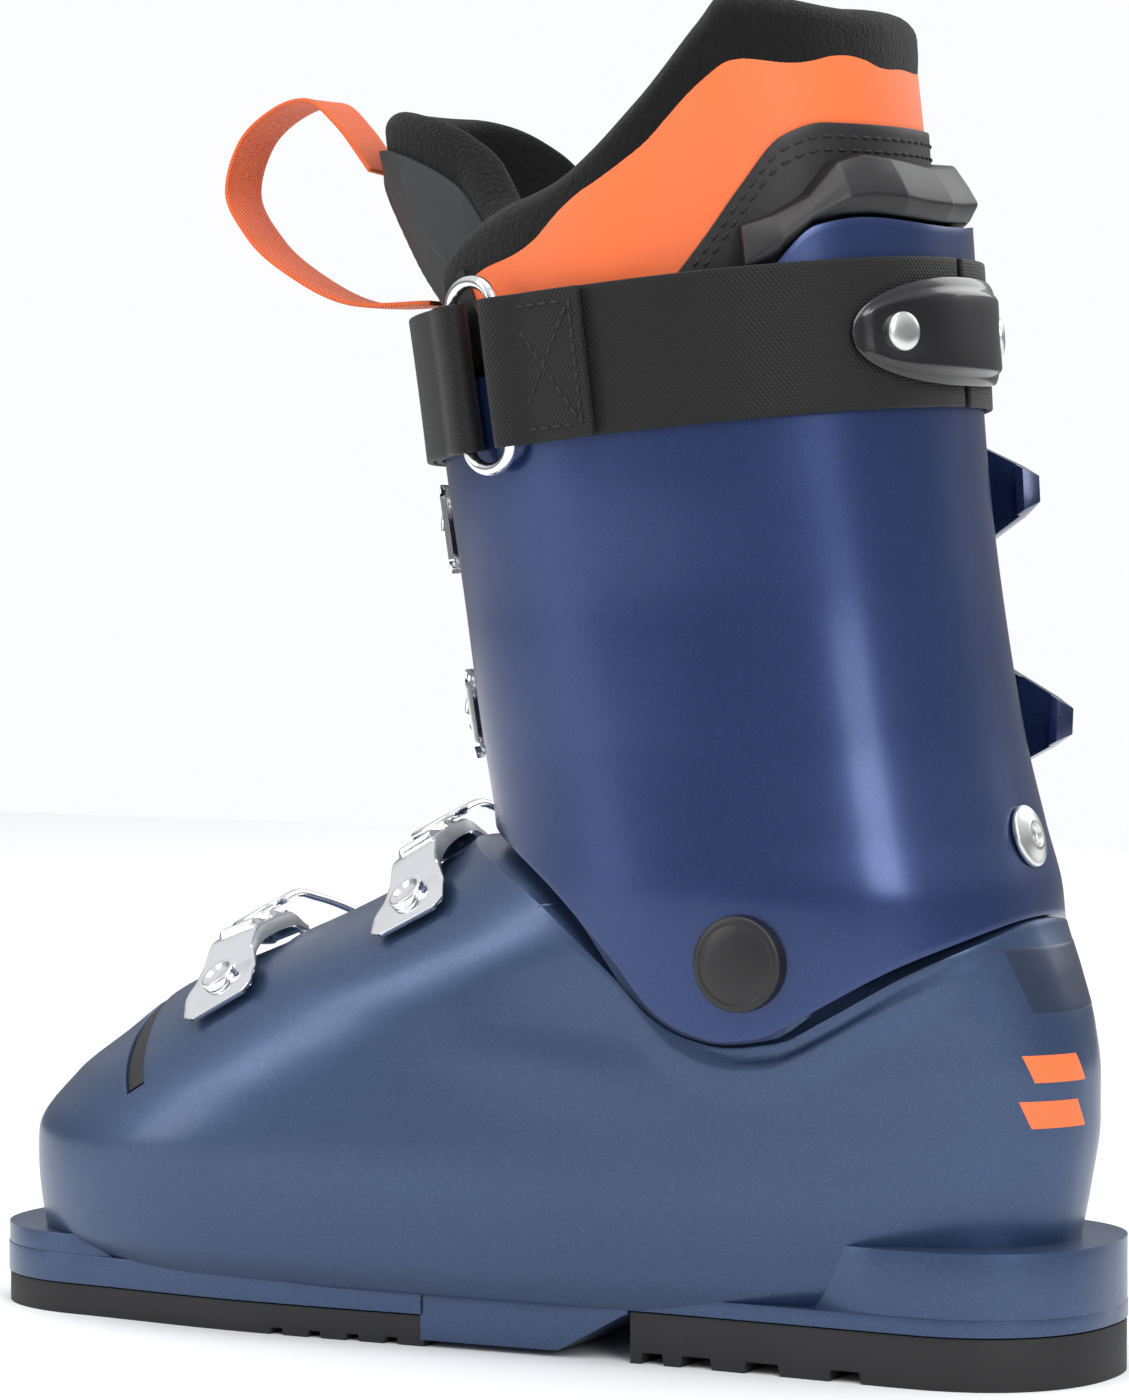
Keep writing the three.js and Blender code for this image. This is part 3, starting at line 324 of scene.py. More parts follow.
def cut_away(obj, cutter):
    modify(obj, "BOOLEAN", operation="DIFFERENCE", object=cutter, solver="EXACT")
    bpy.data.objects.remove(cutter)
    return obj


def join(obj, *others):
    clear_selection()
    for other in others:
        other.select_set(True)
    obj.select_set(True)
    bpy.context.view_layer.objects.active = obj
    bpy.ops.object.join()
    return obj


def surface(name, points, uv=None):
    """A primitive grid shaped to points[row, column]; its front faces along column x row."""
    points = np.asarray(points, float)
    rows, cols = points.shape[:2]
    clear_selection()
    bpy.ops.mesh.primitive_grid_add(x_subdivisions=cols - 1, y_subdivisions=rows - 1, size=2)
    obj = bpy.context.object
    obj.name = obj.data.name = name
    mesh = obj.data
    flat = np.empty(len(mesh.vertices) * 3, np.float32)
    mesh.vertices.foreach_get("co", flat)
    flat = flat.reshape(-1, 3)
    i = np.rint((flat[:, 0] + 1) / 2 * (cols - 1)).astype(int)
    j = np.rint((flat[:, 1] + 1) / 2 * (rows - 1)).astype(int)
    mesh.vertices.foreach_set("co", metres(points)[j, i].astype(np.float32).ravel())
    if uv is not None:
        corner = np.empty(len(mesh.loops), np.int32)
        mesh.loops.foreach_get("vertex_index", corner)
        laid = (np.asarray(uv, float) * MM)[j, i][corner]
        mesh.uv_layers.active.data.foreach_set("uv", laid.astype(np.float32).ravel())
    mesh.update()
    return obj


def strip(frames, across, up):
    """Points of a band along frames: across and up are arrays [station, column]."""
    p, w, n = (frames[k][:, None, :] for k in "pwn")
    return p + w * across[..., None] + n * up[..., None]


def length_along(points):
    return np.concatenate([[0], np.cumsum(np.linalg.norm(np.diff(points, axis=0), axis=1))])


def band_uv(points):
    """UVs of a band in real lengths: across it and along it."""
    middle = points[:, points.shape[1] // 2]
    along = np.repeat(length_along(middle)[:, None], points.shape[1], 1)
    across = np.stack([length_along(row) for row in points])
    return np.stack([across, along], -1)


def prism(name, frames, half, low, high):
    """A closed bar along frames, with a rectangular section at each station."""
    half, low, high = (np.broadcast_to(v, len(frames["p"])) for v in (half, low, high))
    corners = strip(frames, np.stack([-half, half, half, -half, -half], 1), np.stack([low, low, high, high, low], 1))
    obj = weld(surface(name, corners))
    in_edit(obj, lambda: bpy.ops.mesh.select_all(action="DESELECT"),
            lambda: bpy.ops.mesh.select_non_manifold(),
            lambda: bpy.ops.mesh.fill())
    return face_out(obj)


def tube(name, points, radius, closed=False):
    """Round wire through points, converted to a mesh."""
    data = bpy.data.curves.new(name, "CURVE")
    data.dimensions = "3D"
    data.bevel_depth = radius * MM
    data.bevel_resolution = 5
    data.resolution_u = 6
    data.use_fill_caps = True
    spline = data.splines.new("BEZIER")
    spline.bezier_points.add(len(points) - 1)
    for knot, place in zip(spline.bezier_points, metres(points)):
        knot.co = place
        knot.handle_left_type = knot.handle_right_type = "AUTO"
    spline.use_cyclic_u = closed
    obj = bpy.data.objects.new(name, data)
    bpy.context.collection.objects.link(obj)
    pick(obj)
    bpy.ops.object.convert(target="MESH")
    return shade(bpy.context.object, 60)


def end_face(obj, axis):
    """Select only the face that looks along axis and lies furthest out."""
    mesh = obj.data
    for part in (mesh.vertices, mesh.edges, mesh.polygons):
        part.foreach_set("select", np.zeros(len(part), bool))
    reach = [f.center.dot(axis) if f.normal.dot(axis) > 0.99 else -9 for f in mesh.polygons]
    mesh.polygons[int(np.argmax(reach))].select = True


def button(name, foot_point, axis, radius, height, insets, rounding=0.3, sides=48):
    """A cylinder stood on foot_point along axis, its end face stepped by (inset, rise) pairs."""
    axis = Vector(unit(axis))
    middle = at(foot_point) + axis * height * MM / 2
    clear_selection()
    bpy.ops.mesh.primitive_cylinder_add(vertices=sides, radius=radius * MM, depth=height * MM, location=middle,
                                        rotation=axis.to_track_quat("Z", "Y").to_euler())
    obj = bpy.context.object
    obj.name = obj.data.name = name
    bpy.ops.object.transform_apply(location=True, rotation=True, scale=True)
    end_face(obj, axis)
    bpy.ops.object.mode_set(mode="EDIT")
    bpy.ops.mesh.select_mode(type="FACE")
    for inset, rise in insets:
        bpy.ops.mesh.inset(thickness=max(inset, 0.001) * MM, depth=rise * MM)
    bpy.ops.object.mode_set(mode="OBJECT")
    if rounding:
        round_edges(obj, rounding, 2, 30)
    return shade(obj, 40)


def from_node(name, node, rounding, segments):
    """A merged copy of a frame node with its edges rounded."""
    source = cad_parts[node]
    obj = bpy.data.objects.new(name, source.data.copy())
    bpy.context.collection.objects.link(obj)
    in_edit(obj, lambda: bpy.ops.mesh.remove_doubles(threshold=0.005 * MM),
            lambda: bpy.ops.mesh.dissolve_limited(angle_limit=math.radians(2)))
    round_edges(obj, rounding, segments, 30)
    return shade(obj, 40)


def slab(name, outline, low, high, rounding, segments=3):
    """An outline in plan, extruded upward and rounded."""
    clear_selection()
    bpy.ops.mesh.primitive_circle_add(vertices=len(outline), radius=0.1, fill_type="NGON")
    obj = bpy.context.object
    obj.name = obj.data.name = name
    flat = metres(np.column_stack([outline, np.full(len(outline), low)]))
    obj.data.vertices.foreach_set("co", flat.astype(np.float32).ravel())
    rise = (high - low) * MM
    in_edit(obj, lambda: bpy.ops.mesh.extrude_region_move(TRANSFORM_OT_translate={"value": (0, 0, rise)}))
    face_out(obj)
    if rounding:
        round_edges(obj, rounding, segments, 50)
    return obj


def settle(obj, body, slot, finish, *nodes):
    """Give a finished piece its finish, body and slot, and the nodes it stands for."""
    obj.data.materials.clear()
    obj.data.materials.append(FINISHES[finish])
    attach(obj, body)
    if nodes:
        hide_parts(*nodes)
    return obj


# ---------------------------------------------------------------- materials


class Finish:
    """A node material with a Principled shader and short calls to add patterns to it."""

    def __init__(self, name, colour, roughness, metallic=0.0, **sockets):
        self.material = bpy.data.materials.new(name)
        self.material.use_nodes = True
        self.nodes = self.material.node_tree.nodes
        self.links = self.material.node_tree.links
        self.shader = self.nodes["Principled BSDF"]
        self.coords = self.nodes.new("ShaderNodeTexCoord")
        self.set("Base Color", (*colour, 1))
        self.set("Roughness", roughness)
        self.set("Metallic", metallic)
        for key, value in sockets.items():
            self.set(key.replace("_", " ").title().replace("Ior", "IOR"), value)

    def set(self, socket, value):
        self.shader.inputs[socket].default_value = value

    def add(self, kind, inputs=None, **values):
        node = self.nodes.new(kind)
        for name, value in values.items():
            setattr(node, name, value)
        for name, value in (inputs or {}).items():
            if isinstance(value, bpy.types.NodeSocket):
                self.links.new(value, node.inputs[name])
            else:
                node.inputs[name].default_value = value
        return node

    def noise(self, scale, detail=2.0):
        return self.add("ShaderNodeTexNoise", {"Vector": self.coords.outputs["Object"], "Scale": scale,
                                               "Detail": detail}).outputs["Fac"]

    def span(self, value, low, high, start=0.0, end=1.0):
        return self.add("ShaderNodeMapRange", {"Value": value, "From Min": start, "From Max": end, "To Min": low,
                                               "To Max": high}).outputs["Result"]

    def maths(self, operation, a, b=0.0):
        node = self.add("ShaderNodeMath", operation=operation)
        for socket, value in zip(node.inputs, (a, b)):
            if isinstance(value, bpy.types.NodeSocket):
                self.links.new(value, socket)
            else:
                socket.default_value = value
        return node.outputs[0]

    def tint(self, value, dark, light):
        mix = self.add("ShaderNodeMix", data_type="RGBA")
        self.links.new(value, mix.inputs["Factor"])
        for key, colour in (("A", dark), ("B", light)):
            socket = next(s for s in mix.inputs if s.name == key and s.type == "RGBA")
            socket.default_value = (*colour, 1)
        result = next(s for s in mix.outputs if s.type == "RGBA")
        self.links.new(result, self.shader.inputs["Base Color"])

    def rough(self, value, low, high):
        self.links.new(self.span(value, low, high), self.shader.inputs["Roughness"])

    def bump(self, value, strength, distance):
        node = self.add("ShaderNodeBump", {"Height": value, "Strength": strength, "Distance": distance * MM})
        self.links.new(node.outputs["Normal"], self.shader.inputs["Normal"])


def scaled(colour, k):
    return tuple(min(1.0, c * k) for c in colour)


def paint(name, colour, roughness, metallic, coat):
    """Metallic paint: fine flakes, a faint orange peel and slight wear of the gloss."""
    f = Finish(name, colour, roughness, metallic, coat_weight=coat, coat_roughness=0.18)
    flakes = f.add("ShaderNodeTexVoronoi", {"Vector": f.coords.outputs["Object"], "Scale": 3400.0})
    grey = f.add("ShaderNodeSeparateColor", {"Color": flakes.outputs["Color"]}).outputs["Red"]
    # painted glint: the brightest flake cells lighten the base colour in small specks
    glint = f.maths("POWER", grey, 7.0)
    cloud = f.span(f.noise(22.0, 3.0), 0.0, 0.16)
    f.tint(f.maths("ADD", cloud, f.maths("MULTIPLY", glint, 0.42)), scaled(colour, 0.93), scaled(colour, 1.9))
    f.rough(f.noise(55.0, 4.0), roughness - 0.04, roughness + 0.06)
    f.bump(f.noise(900.0, 2.0), 0.12, 0.05)
    return f.material


def moulded(name, colour, roughness, grain=900.0, depth=0.25, **sockets):
    """Moulded plastic or rubber with a fine grain."""
    f = Finish(name, colour, roughness, **sockets)
    f.tint(f.noise(35.0, 4.0), scaled(colour, 0.8), scaled(colour, 1.35))
    f.rough(f.noise(60.0, 4.0), roughness - 0.06, roughness + 0.08)
    f.bump(f.noise(grain, 3.0), depth, 0.12)
    return f.material


def metal(name, colour, roughness, brushed=0.0):
    f = Finish(name, colour, roughness, 1.0)
    f.rough(f.noise(160.0, 4.0), roughness * 0.7, roughness * 1.4)
    f.tint(f.noise(70.0, 3.0), scaled(colour, 0.9), scaled(colour, 1.05))
    f.bump(f.noise(420.0, 3.0), 0.1 + brushed, 0.06)
    return f.material


def fleece(name, colour):
    """Brushed pile: soft clumps, short fibres and a strong sheen."""
    f = Finish(name, colour, 0.95, sheen_weight=0.12, sheen_roughness=0.6, specular_ior_level=0.1)
    clumps = f.noise(900.0, 5.0)
    fibres = f.noise(2600.0, 3.0)
    f.tint(f.maths("MULTIPLY", clumps, fibres), scaled(colour, 0.3), scaled(colour, 4.2))
    f.bump(f.maths("ADD", f.maths("MULTIPLY", clumps, 1.4), fibres), 0.8, 0.45)
    return f.material


def laminate(name, colour):
    """Smooth laminated fabric over foam."""
    f = Finish(name, colour, 0.55, sheen_weight=0.15, sheen_roughness=0.4)
    f.tint(f.noise(28.0, 3.0), scaled(colour, 0.9), scaled(colour, 1.06))
    f.rough(f.noise(90.0, 4.0), 0.48, 0.62)
    f.bump(f.noise(1500.0, 3.0), 0.25, 0.12)
    return f.material


def webbing(name, colour, pitch=0.9, gloss=0.5):
    """Twill webbing: threads slope one way across the band and show as fine ribs."""
    f = Finish(name, colour, gloss, sheen_weight=0.08, sheen_roughness=0.5, specular_ior_level=0.3)
    uv = f.add("ShaderNodeSeparateXYZ", {"Vector": f.coords.outputs["UV"]})
    turns = 2 * math.pi / (pitch * MM)
    along = f.maths("MULTIPLY", uv.outputs["Y"], turns)
    across = f.maths("MULTIPLY", uv.outputs["X"], turns * 0.75)
    slope = f.maths("SINE", f.maths("ADD", along, across))
    rib = f.maths("SINE", f.maths("MULTIPLY", across, 2.0))
    weave = f.span(f.maths("ADD", slope, f.maths("MULTIPLY", rib, 0.6)), 0.0, 1.0, -1.6, 1.6)
    wear = f.span(f.noise(120.0, 4.0), 0.75, 1.15)
    f.tint(f.maths("MULTIPLY", weave, wear), scaled(colour, 0.45), scaled(colour, 1.7))
    f.rough(weave, gloss + 0.12, gloss - 0.08)
    f.bump(weave, 0.6, 0.22)
    return f.material


FINISHES = {}


def mix_finishes(settings):
    navy = tuple(settings.shell_colour)
    FINISHES.update(
        shell=paint("shell_blue", navy, 0.36, 0.6, 0.25),
        cuff=paint("cuff_blue", tuple(settings.cuff_colour), 0.3, 0.6, 0.35),
        lever=paint("lever_blue", scaled(tuple(settings.cuff_colour), 0.6), 0.25, 0.5, 0.6),
        dark_panel=paint("heel_panel_blue", scaled(navy, 0.45), 0.4, 0.4, 0.2),
        rubber=moulded("sole_rubber", (0.009, 0.009, 0.01), 0.62, 700.0, 0.4),
        gasket=moulded("gasket_rubber", (0.01, 0.01, 0.011), 0.5, 900.0, 0.2),
        black=moulded("black_plastic", (0.007, 0.007, 0.008), 0.42, 1100.0, 0.22),
        gloss=moulded("gloss_black", (0.006, 0.006, 0.007), 0.24, 500.0, 0.05, coat_weight=0.4),
        trim=moulded("trim_black", (0.008, 0.008, 0.009), 0.48, 1400.0, 0.35),
        grey=moulded("tongue_grey", (0.022, 0.023, 0.024), 0.52, 1300.0, 0.3),
        board=moulded("board_plastic", (0.08, 0.08, 0.085), 0.6),
        chrome=metal("polished_steel", (0.86, 0.87, 0.89), 0.11),
        cast=metal("cast_steel", (0.32, 0.33, 0.35), 0.36, 0.5),
        zinc=metal("zinc_steel", (0.68, 0.69, 0.68), 0.3, 0.15),
        fleece=fleece("lining_fleece", (0.004, 0.004, 0.0045)),
        lining=laminate("lining_fabric", (0.03, 0.031, 0.034)),
        orange=laminate("liner_orange", tuple(settings.liner_colour)),
        mark=moulded("mark_orange", (0.9, 0.16, 0.045), 0.45, 900.0, 0.1),
        loop=webbing("webbing_orange", (0.62, 0.1, 0.022), 0.8, 0.6),
        strap=webbing("webbing_black", (0.005, 0.005, 0.0055), 1.1, 0.55),
        thread=moulded("thread_black", (0.012, 0.012, 0.013), 0.6, 2500.0, 0.5),
    )


# ---------------------------------------------------------------- shell


def sole_half(x):
    edge = curve([(-108, 34), (-50, 33), (0, 35), (60, 37.5), (105, 34.5)])
    start = np.where(x > 0, 105.0, 108.0)
    half = np.where(x > 0, 34.5, 34.0)
    u = np.clip((np.abs(x) - start) / (SOLE_END - start), 0, 1)
    rounded = half * (1 - u**2.3) ** (1 / 2.3)
    return np.where(np.abs(x) > start, rounded, edge(x))


def sole_outline(x0, x1, inset=0.0, count=70):
    """The sole in plan between two places along it."""
    x = lerp(x0, x1, (1 - np.cos(np.linspace(0, math.pi, count))) / 2)
    y = np.maximum(sole_half(x) - inset, 0)
    x = x[y > 1e-3]
    y = y[y > 1e-3]
    return np.concatenate([np.column_stack([x, y])[::-1], np.column_stack([x, -y])])


def lug_outline(x0, x1, fade):
    """A lug in plan; its sides draw in under the shell over the fade."""
    outline = sole_outline(x0, x1, 0.35, 90)
    outline[:, 1] -= np.sign(outline[:, 1]) * 12 * smooth(fade[0], fade[1], outline[:, 0])
    return outline


def step_line(x):
    """Where the lower shell steps in below the cuff's hem, clear of the cuff when it flexes."""
    return np.minimum(cuff_hem(x), cuff_hem(x - 2.2)) - 1.8 - math.sin(FLEX_ANGLE) * np.maximum(0, x - HINGE_X)


def shell_rows(settings):
    """Points of the lower shell's outside, from the sole band up to the collar's rim."""
    core = tucked_core(settings.cuff_wall / MM)
    t = np.linspace(0, 2 * math.pi, 289)
    step = foot.crossing(t, step_line, 60, 140)
    rim = core.crossing(t, collar_top, 100, 175)
    z = np.array([lerp(12, step, u) for u in np.linspace(0, 1, 80)])
    p = foot.point(t, z)
    below = cuff_hem(p[..., 0]) - z
    ridge = smooth(4.5, 6.5, below) * (1 - smooth(7, 15, below)) * smooth(-124, -100, p[..., 0])
    ridge = ridge * (1 - smooth(-60, -38, p[..., 0]))
    p[..., 1] += np.sign(p[..., 1]) * 0.9 * ridge
    seam = np.exp(-(((z - 60) - 0.25 * (p[..., 0] + 60)) / 9) ** 2) * smooth(-70, -30, p[..., 0])
    p[..., 1] += np.sign(p[..., 1]) * 0.6 * seam * (1 - smooth(70, 110, p[..., 0]))
    collar = np.array([core.point(t, lerp(step + 0.5, rim, u)) for u in np.linspace(0, 1, 14)])
    return np.concatenate([p, collar])


def lower_shell(settings):
    wall = settings.shell_wall / MM
    p = shell_rows(settings)
    shell = weld(surface("lower_shell_body", p))
    thicken(shell, wall)
    groove = foot.path((70, 0, 28), RIDGE, np.linspace(-53, 53, 80))
    cut_away(shell, prism("gasket_groove", groove, 2.9, -1.9, 3.0))
    round_edges(shell, 0.5, 2, 55)
    shade(shell, 40)
    edge = settings.edge_round / MM
    bands = [
        slab("toe_band", sole_outline(11.6, SOLE_END), TOE_PAD_TOP + FIT, BAND_TOP + 0.8, edge),
        slab("arch_band", sole_outline(-39.6, 12.6), 1.6, BAND_TOP + 0.8, edge),
        slab("heel_band", sole_outline(-SOLE_END, -38.6), HEEL_PAD_TOP + FIT, BAND_TOP + 2, edge / 2),
        slab("toe_lug", lug_outline(66, SOLE_END, (103, 70)), 9, TOE_LUG_TOP, 1.6 * edge),
        slab("heel_lug", lug_outline(-SOLE_END, -52, (-102, -56)), 13, HEEL_LUG_TOP, 1.6 * edge),
    ]
    for vertex in bands[1].data.vertices:
        if vertex.co.z < 4 * MM:
            vertex.co.z += 9.3 * MM * min(1, max(0, (-22 * MM - vertex.co.x) / (17 * MM)))
    for piece in bands:
        shade(piece, 40)
    join(shell, *bands)
    shell.name = "lower_shell_visual"
    settle(shell, "shell", "shell_blue", "shell", "lower_shell")


def shell_patch(name, corners, finish):
    """A thin plate on the foot between four corners (angle, height), counter-clockwise from the low one."""
    u, v = np.meshgrid(np.linspace(0, 1, 24), np.linspace(0, 1, 20))
    a, b, c, d = (np.array(corner, float) for corner in corners)
    spot = lerp(lerp(a, b, u[..., None]), lerp(d, c, u[..., None]), v[..., None])
    p = foot.point(np.radians(spot[..., 0]), spot[..., 1])
    p = p + foot.normal(p) * 0.12
    settle(walled(surface(name, p), 0.5, 0.12, 40), "shell", "shell_blue", finish)


def heel_marks():
    shell_patch("heel_panel", [(164, 81), (196, 81), (200, 95), (160, 95)], "dark_panel")
    for k, z in enumerate((56, 66)):
        shell_patch(f"heel_bar_{k + 1}", [(163, z), (178, z), (175, z + 6), (160, z + 6)], "mark")


def forefoot_flap():
    """The inner flap lies over the outer one along the ridge of the foot."""
    along = np.linspace(18, 66, 60)
    across = np.linspace(30, -6.2, 36)
    lean, depth = np.array([0.5, 0, 0.866]), 60
    ahead = np.repeat(unit(lean)[None], len(across), 0)
    grid = []
    for x in along:
        reach = foot.cast(np.array([x, 0, ridge_height(x)]) - lean * depth, ahead)
        start = reach + np.column_stack([np.zeros_like(across), across, np.zeros_like(across)])
        base = foot.cast(start - ahead * depth, ahead)
        ends = smooth(18, 22, x) * (1 - smooth(61, 66, x))
        lift = -0.5 + 1.7 * smooth(28, -2, across) * ends
        grid.append(base + foot.normal(base) * lift[:, None])
    obj = face_towards(surface("forefoot_flap", np.array(grid)), lean)
    settle(walled(obj, 1.5, 0.5, 45, 3), "shell", "shell_blue", "shell")


def face_towards(obj, direction):
    """Turn a sheet's faces over if they look away from direction."""
    total = sum((f.normal * f.area for f in obj.data.polygons), Vector())
    if total.dot(Vector(direction)) < 0:
        in_edit(obj, bpy.ops.mesh.flip_normals)
    return obj


def ridge_height(x):
    """Height of the foot's ridge at a place along it."""
    z = np.linspace(42, 150, 400)
    front = foot.read(z)[0]
    return float(np.interp(-x, -front, z))


def toe_gasket():
    frames = foot.path((70, 0, 28), RIDGE, np.linspace(-52, 52, 90))
    across = np.linspace(-2.6, 2.6, 7)[None] * np.ones((90, 1))
    up = -0.5 + 0.25 * (1 - (across / 2.6) ** 2)
    obj = walled(surface("gasket_strip", strip(frames, across, up)), 0.9, 0.2, 35)
    settle(obj, "shell", "gasket_rubber", "gasket", "toe_gasket")


def sole_pads():
    grooves = {
        "toe": [(19, 22, 1.6), (29, 32, 1.6), (39, 42, 1.6), (49, 52, 1.6)],
        "heel": [(-48, -43, 2.6), (-60, -53, 2.6), (-77, -69, 2.6), (-97, -90, 2.6)],
    }
    spans = {"toe": (12, SOLE_END, TOE_PAD_TOP), "heel": (-SOLE_END, -40, HEEL_PAD_TOP)}
    for name, (x0, x1, top) in spans.items():
        pad = slab(f"{name}_pad", sole_outline(x0, x1, 0.6), 0, top, 0)
        for a, b, depth in grooves[name]:
            clear_selection()
            bpy.ops.mesh.primitive_cube_add(size=1, location=at(((a + b) / 2, 0, depth / 2 - 1)),
                                            scale=((b - a) * MM, 0.12, (depth + 2) * MM))
            cutter = bpy.context.object
            bpy.ops.object.transform_apply(location=True, rotation=True, scale=True)
            for v in cutter.data.vertices:
                if v.co.z < 0:
                    v.co.x += 0.8 * MM if v.co.x > (a + b) / 2 * MM else -0.8 * MM
            cut_away(pad, cutter)
        round_edges(pad, 0.5, 2, 30)
        settle(shade(pad), "shell", "sole_rubber", "rubber", f"{name}_sole_pad")


# ---------------------------------------------------------------- cuff


def tuck(t, cuff_wall):
    return (cuff_wall + FIT) * smooth(338, 353, np.degrees(t))


def cuff_shell(settings):
    wall = settings.cuff_wall / MM
    t = np.radians(np.linspace(-7, 386, 316))
    inset = tuck(t, wall)
    hem = cuff.crossing(t, cuff_hem, *CUFF_SPAN, lambda a, z: inset) + 13 * smooth(334, 352, np.degrees(t))
    top = cuff.crossing(t, cuff_top, *CUFF_SPAN, lambda a, z: inset)
    z = np.array([lerp(hem, top, u) for u in np.linspace(0, 1, 90)])
    body = surface("cuff_body", cuff.point(t, z, inset))
    thicken(body, wall)
    frames = cuff_path(164, 0.03, np.linspace(-14, 21, 40))
    round_end = np.sqrt(np.clip(1 - np.clip((frames["u"] - 0.87) / 0.13, 0, 1) ** 2, 0.0025, 1))
    cut_away(body, prism("relief_cutter", frames, 5 * round_end, -wall - 0.15, 4))
    round_edges(body, settings.edge_round / MM, 3, 55)
    body.name = "cuff_visual"
    settle(shade(body, 40), "cuff", "shell_blue", "cuff", "cuff_shell")


def calf_spoiler(settings):
    """A faceted lip over the cuff's rear edge."""
    t = np.radians(np.linspace(122, 238, 15))
    edge = cuff.crossing(t, cuff_top, *CUFF_SPAN)
    top = cuff.crossing(t, spoiler_top, *CUFF_SPAN)
    wall = settings.cuff_wall / MM
    waves = 0.8 * np.cos(np.arange(15) * math.pi)
    levels = [(edge + 0.9, wall + 5.5), (edge + 0.9, 0.8 + waves * 0.3), (lerp(edge, top, 0.38), -1.2 + waves),
              (lerp(edge, top, 0.66), 0.4 + 0.5 * waves), (top, 3.2), (top + 0.4, wall + 5.5),
              (edge + 0.9, wall + 5.5)]
    points = np.array([cuff.point(t, z, i) for z, i in levels])
    obj = weld(surface("calf_spoiler_visual", points))
    in_edit(obj, lambda: bpy.ops.mesh.select_all(action="DESELECT"),
            lambda: bpy.ops.mesh.select_non_manifold(), lambda: bpy.ops.mesh.fill())
    face_out(obj)
    round_edges(obj, 0.6, 2, 12)
    settle(shade(obj, 25), "cuff", "black_plastic", "black", "calf_spoiler")


def pivots():
    for side, sign in (("medial", 1), ("lateral", -1)):
        low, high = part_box(f"pivot_cap_{side}")
        face = (high.y if sign > 0 else low.y) / MM - SHIFT
        base = (HINGE_X, face - sign * 6.5, HINGE_Z)
        cap = button(f"pivot_disc_{side}", base, (0, sign, 0), 10.5, 4.9,
                     [(0.5, 0.35), (1.0, 0.3), (0.35, -0.25), (0.35, 0.25), (3, 0.45), (3, 0.2)], 0.25, 96)
        settle(cap, "shell", "black_plastic", "black", f"pivot_cap_{side}")
    spot = cuff.cast(np.array([-45.0, 0, 118.4]), np.array([[-1.0, 0, 0]]))[0]
    axis = cuff.normal(spot[None])[0]
    bolt = button("spine_bolt_visual", spot + axis * 0.3, axis, 7, 1.0,
                  [(0.4, 0.4), (1.6, 0.3), (1.1, 0.7), (1.2, 0.2), (0.25, -1.5)], 0.2, 64)
    settle(bolt, "cuff", "zinc_steel", "zinc", "spine_bolt")


# ---------------------------------------------------------------- liner and tongue


def liner_inset(t, z, wall):
    turn = np.degrees(t)
    behind = smooth(88, 118, turn) * (1 - smooth(242, 272, turn))
    return lerp(wall + 10.5, wall + 0.8 + 6.2 * behind, smooth(168, 190, z))


def liner_rim(t, wall):
    """Height of the liner's top edge at each angle."""
    return cuff.crossing(t, liner_top, *CUFF_SPAN, lambda a, z: liner_inset(a, z, wall))


def padded_band(name, t, low, top, outer, thick, roll, rows=40, end=0.07):
    """A pad round the leg: out up one side, over a rolled rim and down inside, pinched at its two ends."""
    u = np.linspace(0, 1, rows)
    arc = np.linspace(0, math.pi, 13)
    place = np.linspace(0, 1, len(t))
    from_end = np.clip(np.minimum(place, place[::-1]) / end, 0, 1)
    pinch = np.sqrt(np.clip(1 - (1 - from_end) ** 2, 0.0004, 1))
    sections = []
    for k, angle in enumerate(t):
        half = thick[k] / 2 * pinch[k]
        crown = top[k] - roll * pinch[k]
        up = lerp(low, crown, u)
        spread = half + (roll - thick[k] / 2) * pinch[k] * smooth(-16, -2, up - crown)
        over_z = crown + roll * pinch[k] * np.sin(arc)
        over = -np.cos(arc) * max(roll * pinch[k], half * 0.98)
        z = np.concatenate([up, over_z[1:-1], up[::-1], up[:1]])
        side = np.concatenate([-spread, over[1:-1], spread[::-1], -spread[:1]])
        middle = outer(angle, np.minimum(z, crown)) + thick[k] / 2
        sections.append(cuff.point(np.full(len(z), angle), z, middle + side))
    points = np.array(sections).transpose(1, 0, 2)
    obj = weld(surface(name, points), 0.02)
    return face_out(obj)


def ruffle(obj, height, length, seed):
    """Soft unevenness of a padded surface."""
    co = np.empty(len(obj.data.vertices) * 3, np.float32)
    no = np.empty_like(co)
    obj.data.vertices.foreach_get("co", co)
    obj.data.vertices.foreach_get("normal", no)
    co, no = co.reshape(-1, 3), no.reshape(-1, 3)
    rng = np.random.default_rng(seed)
    total = np.zeros(len(co))
    for _ in range(10):
        direction = unit(rng.normal(size=3)) * 2 * math.pi / (length * MM) * rng.uniform(0.6, 1.6)
        total += np.sin(co @ direction + rng.uniform(0, 6.28))
    obj.data.vertices.foreach_set("co", (co + no * (total / 10 * height * MM)[:, None]).astype(np.float32).ravel())
    obj.data.update()
    return obj


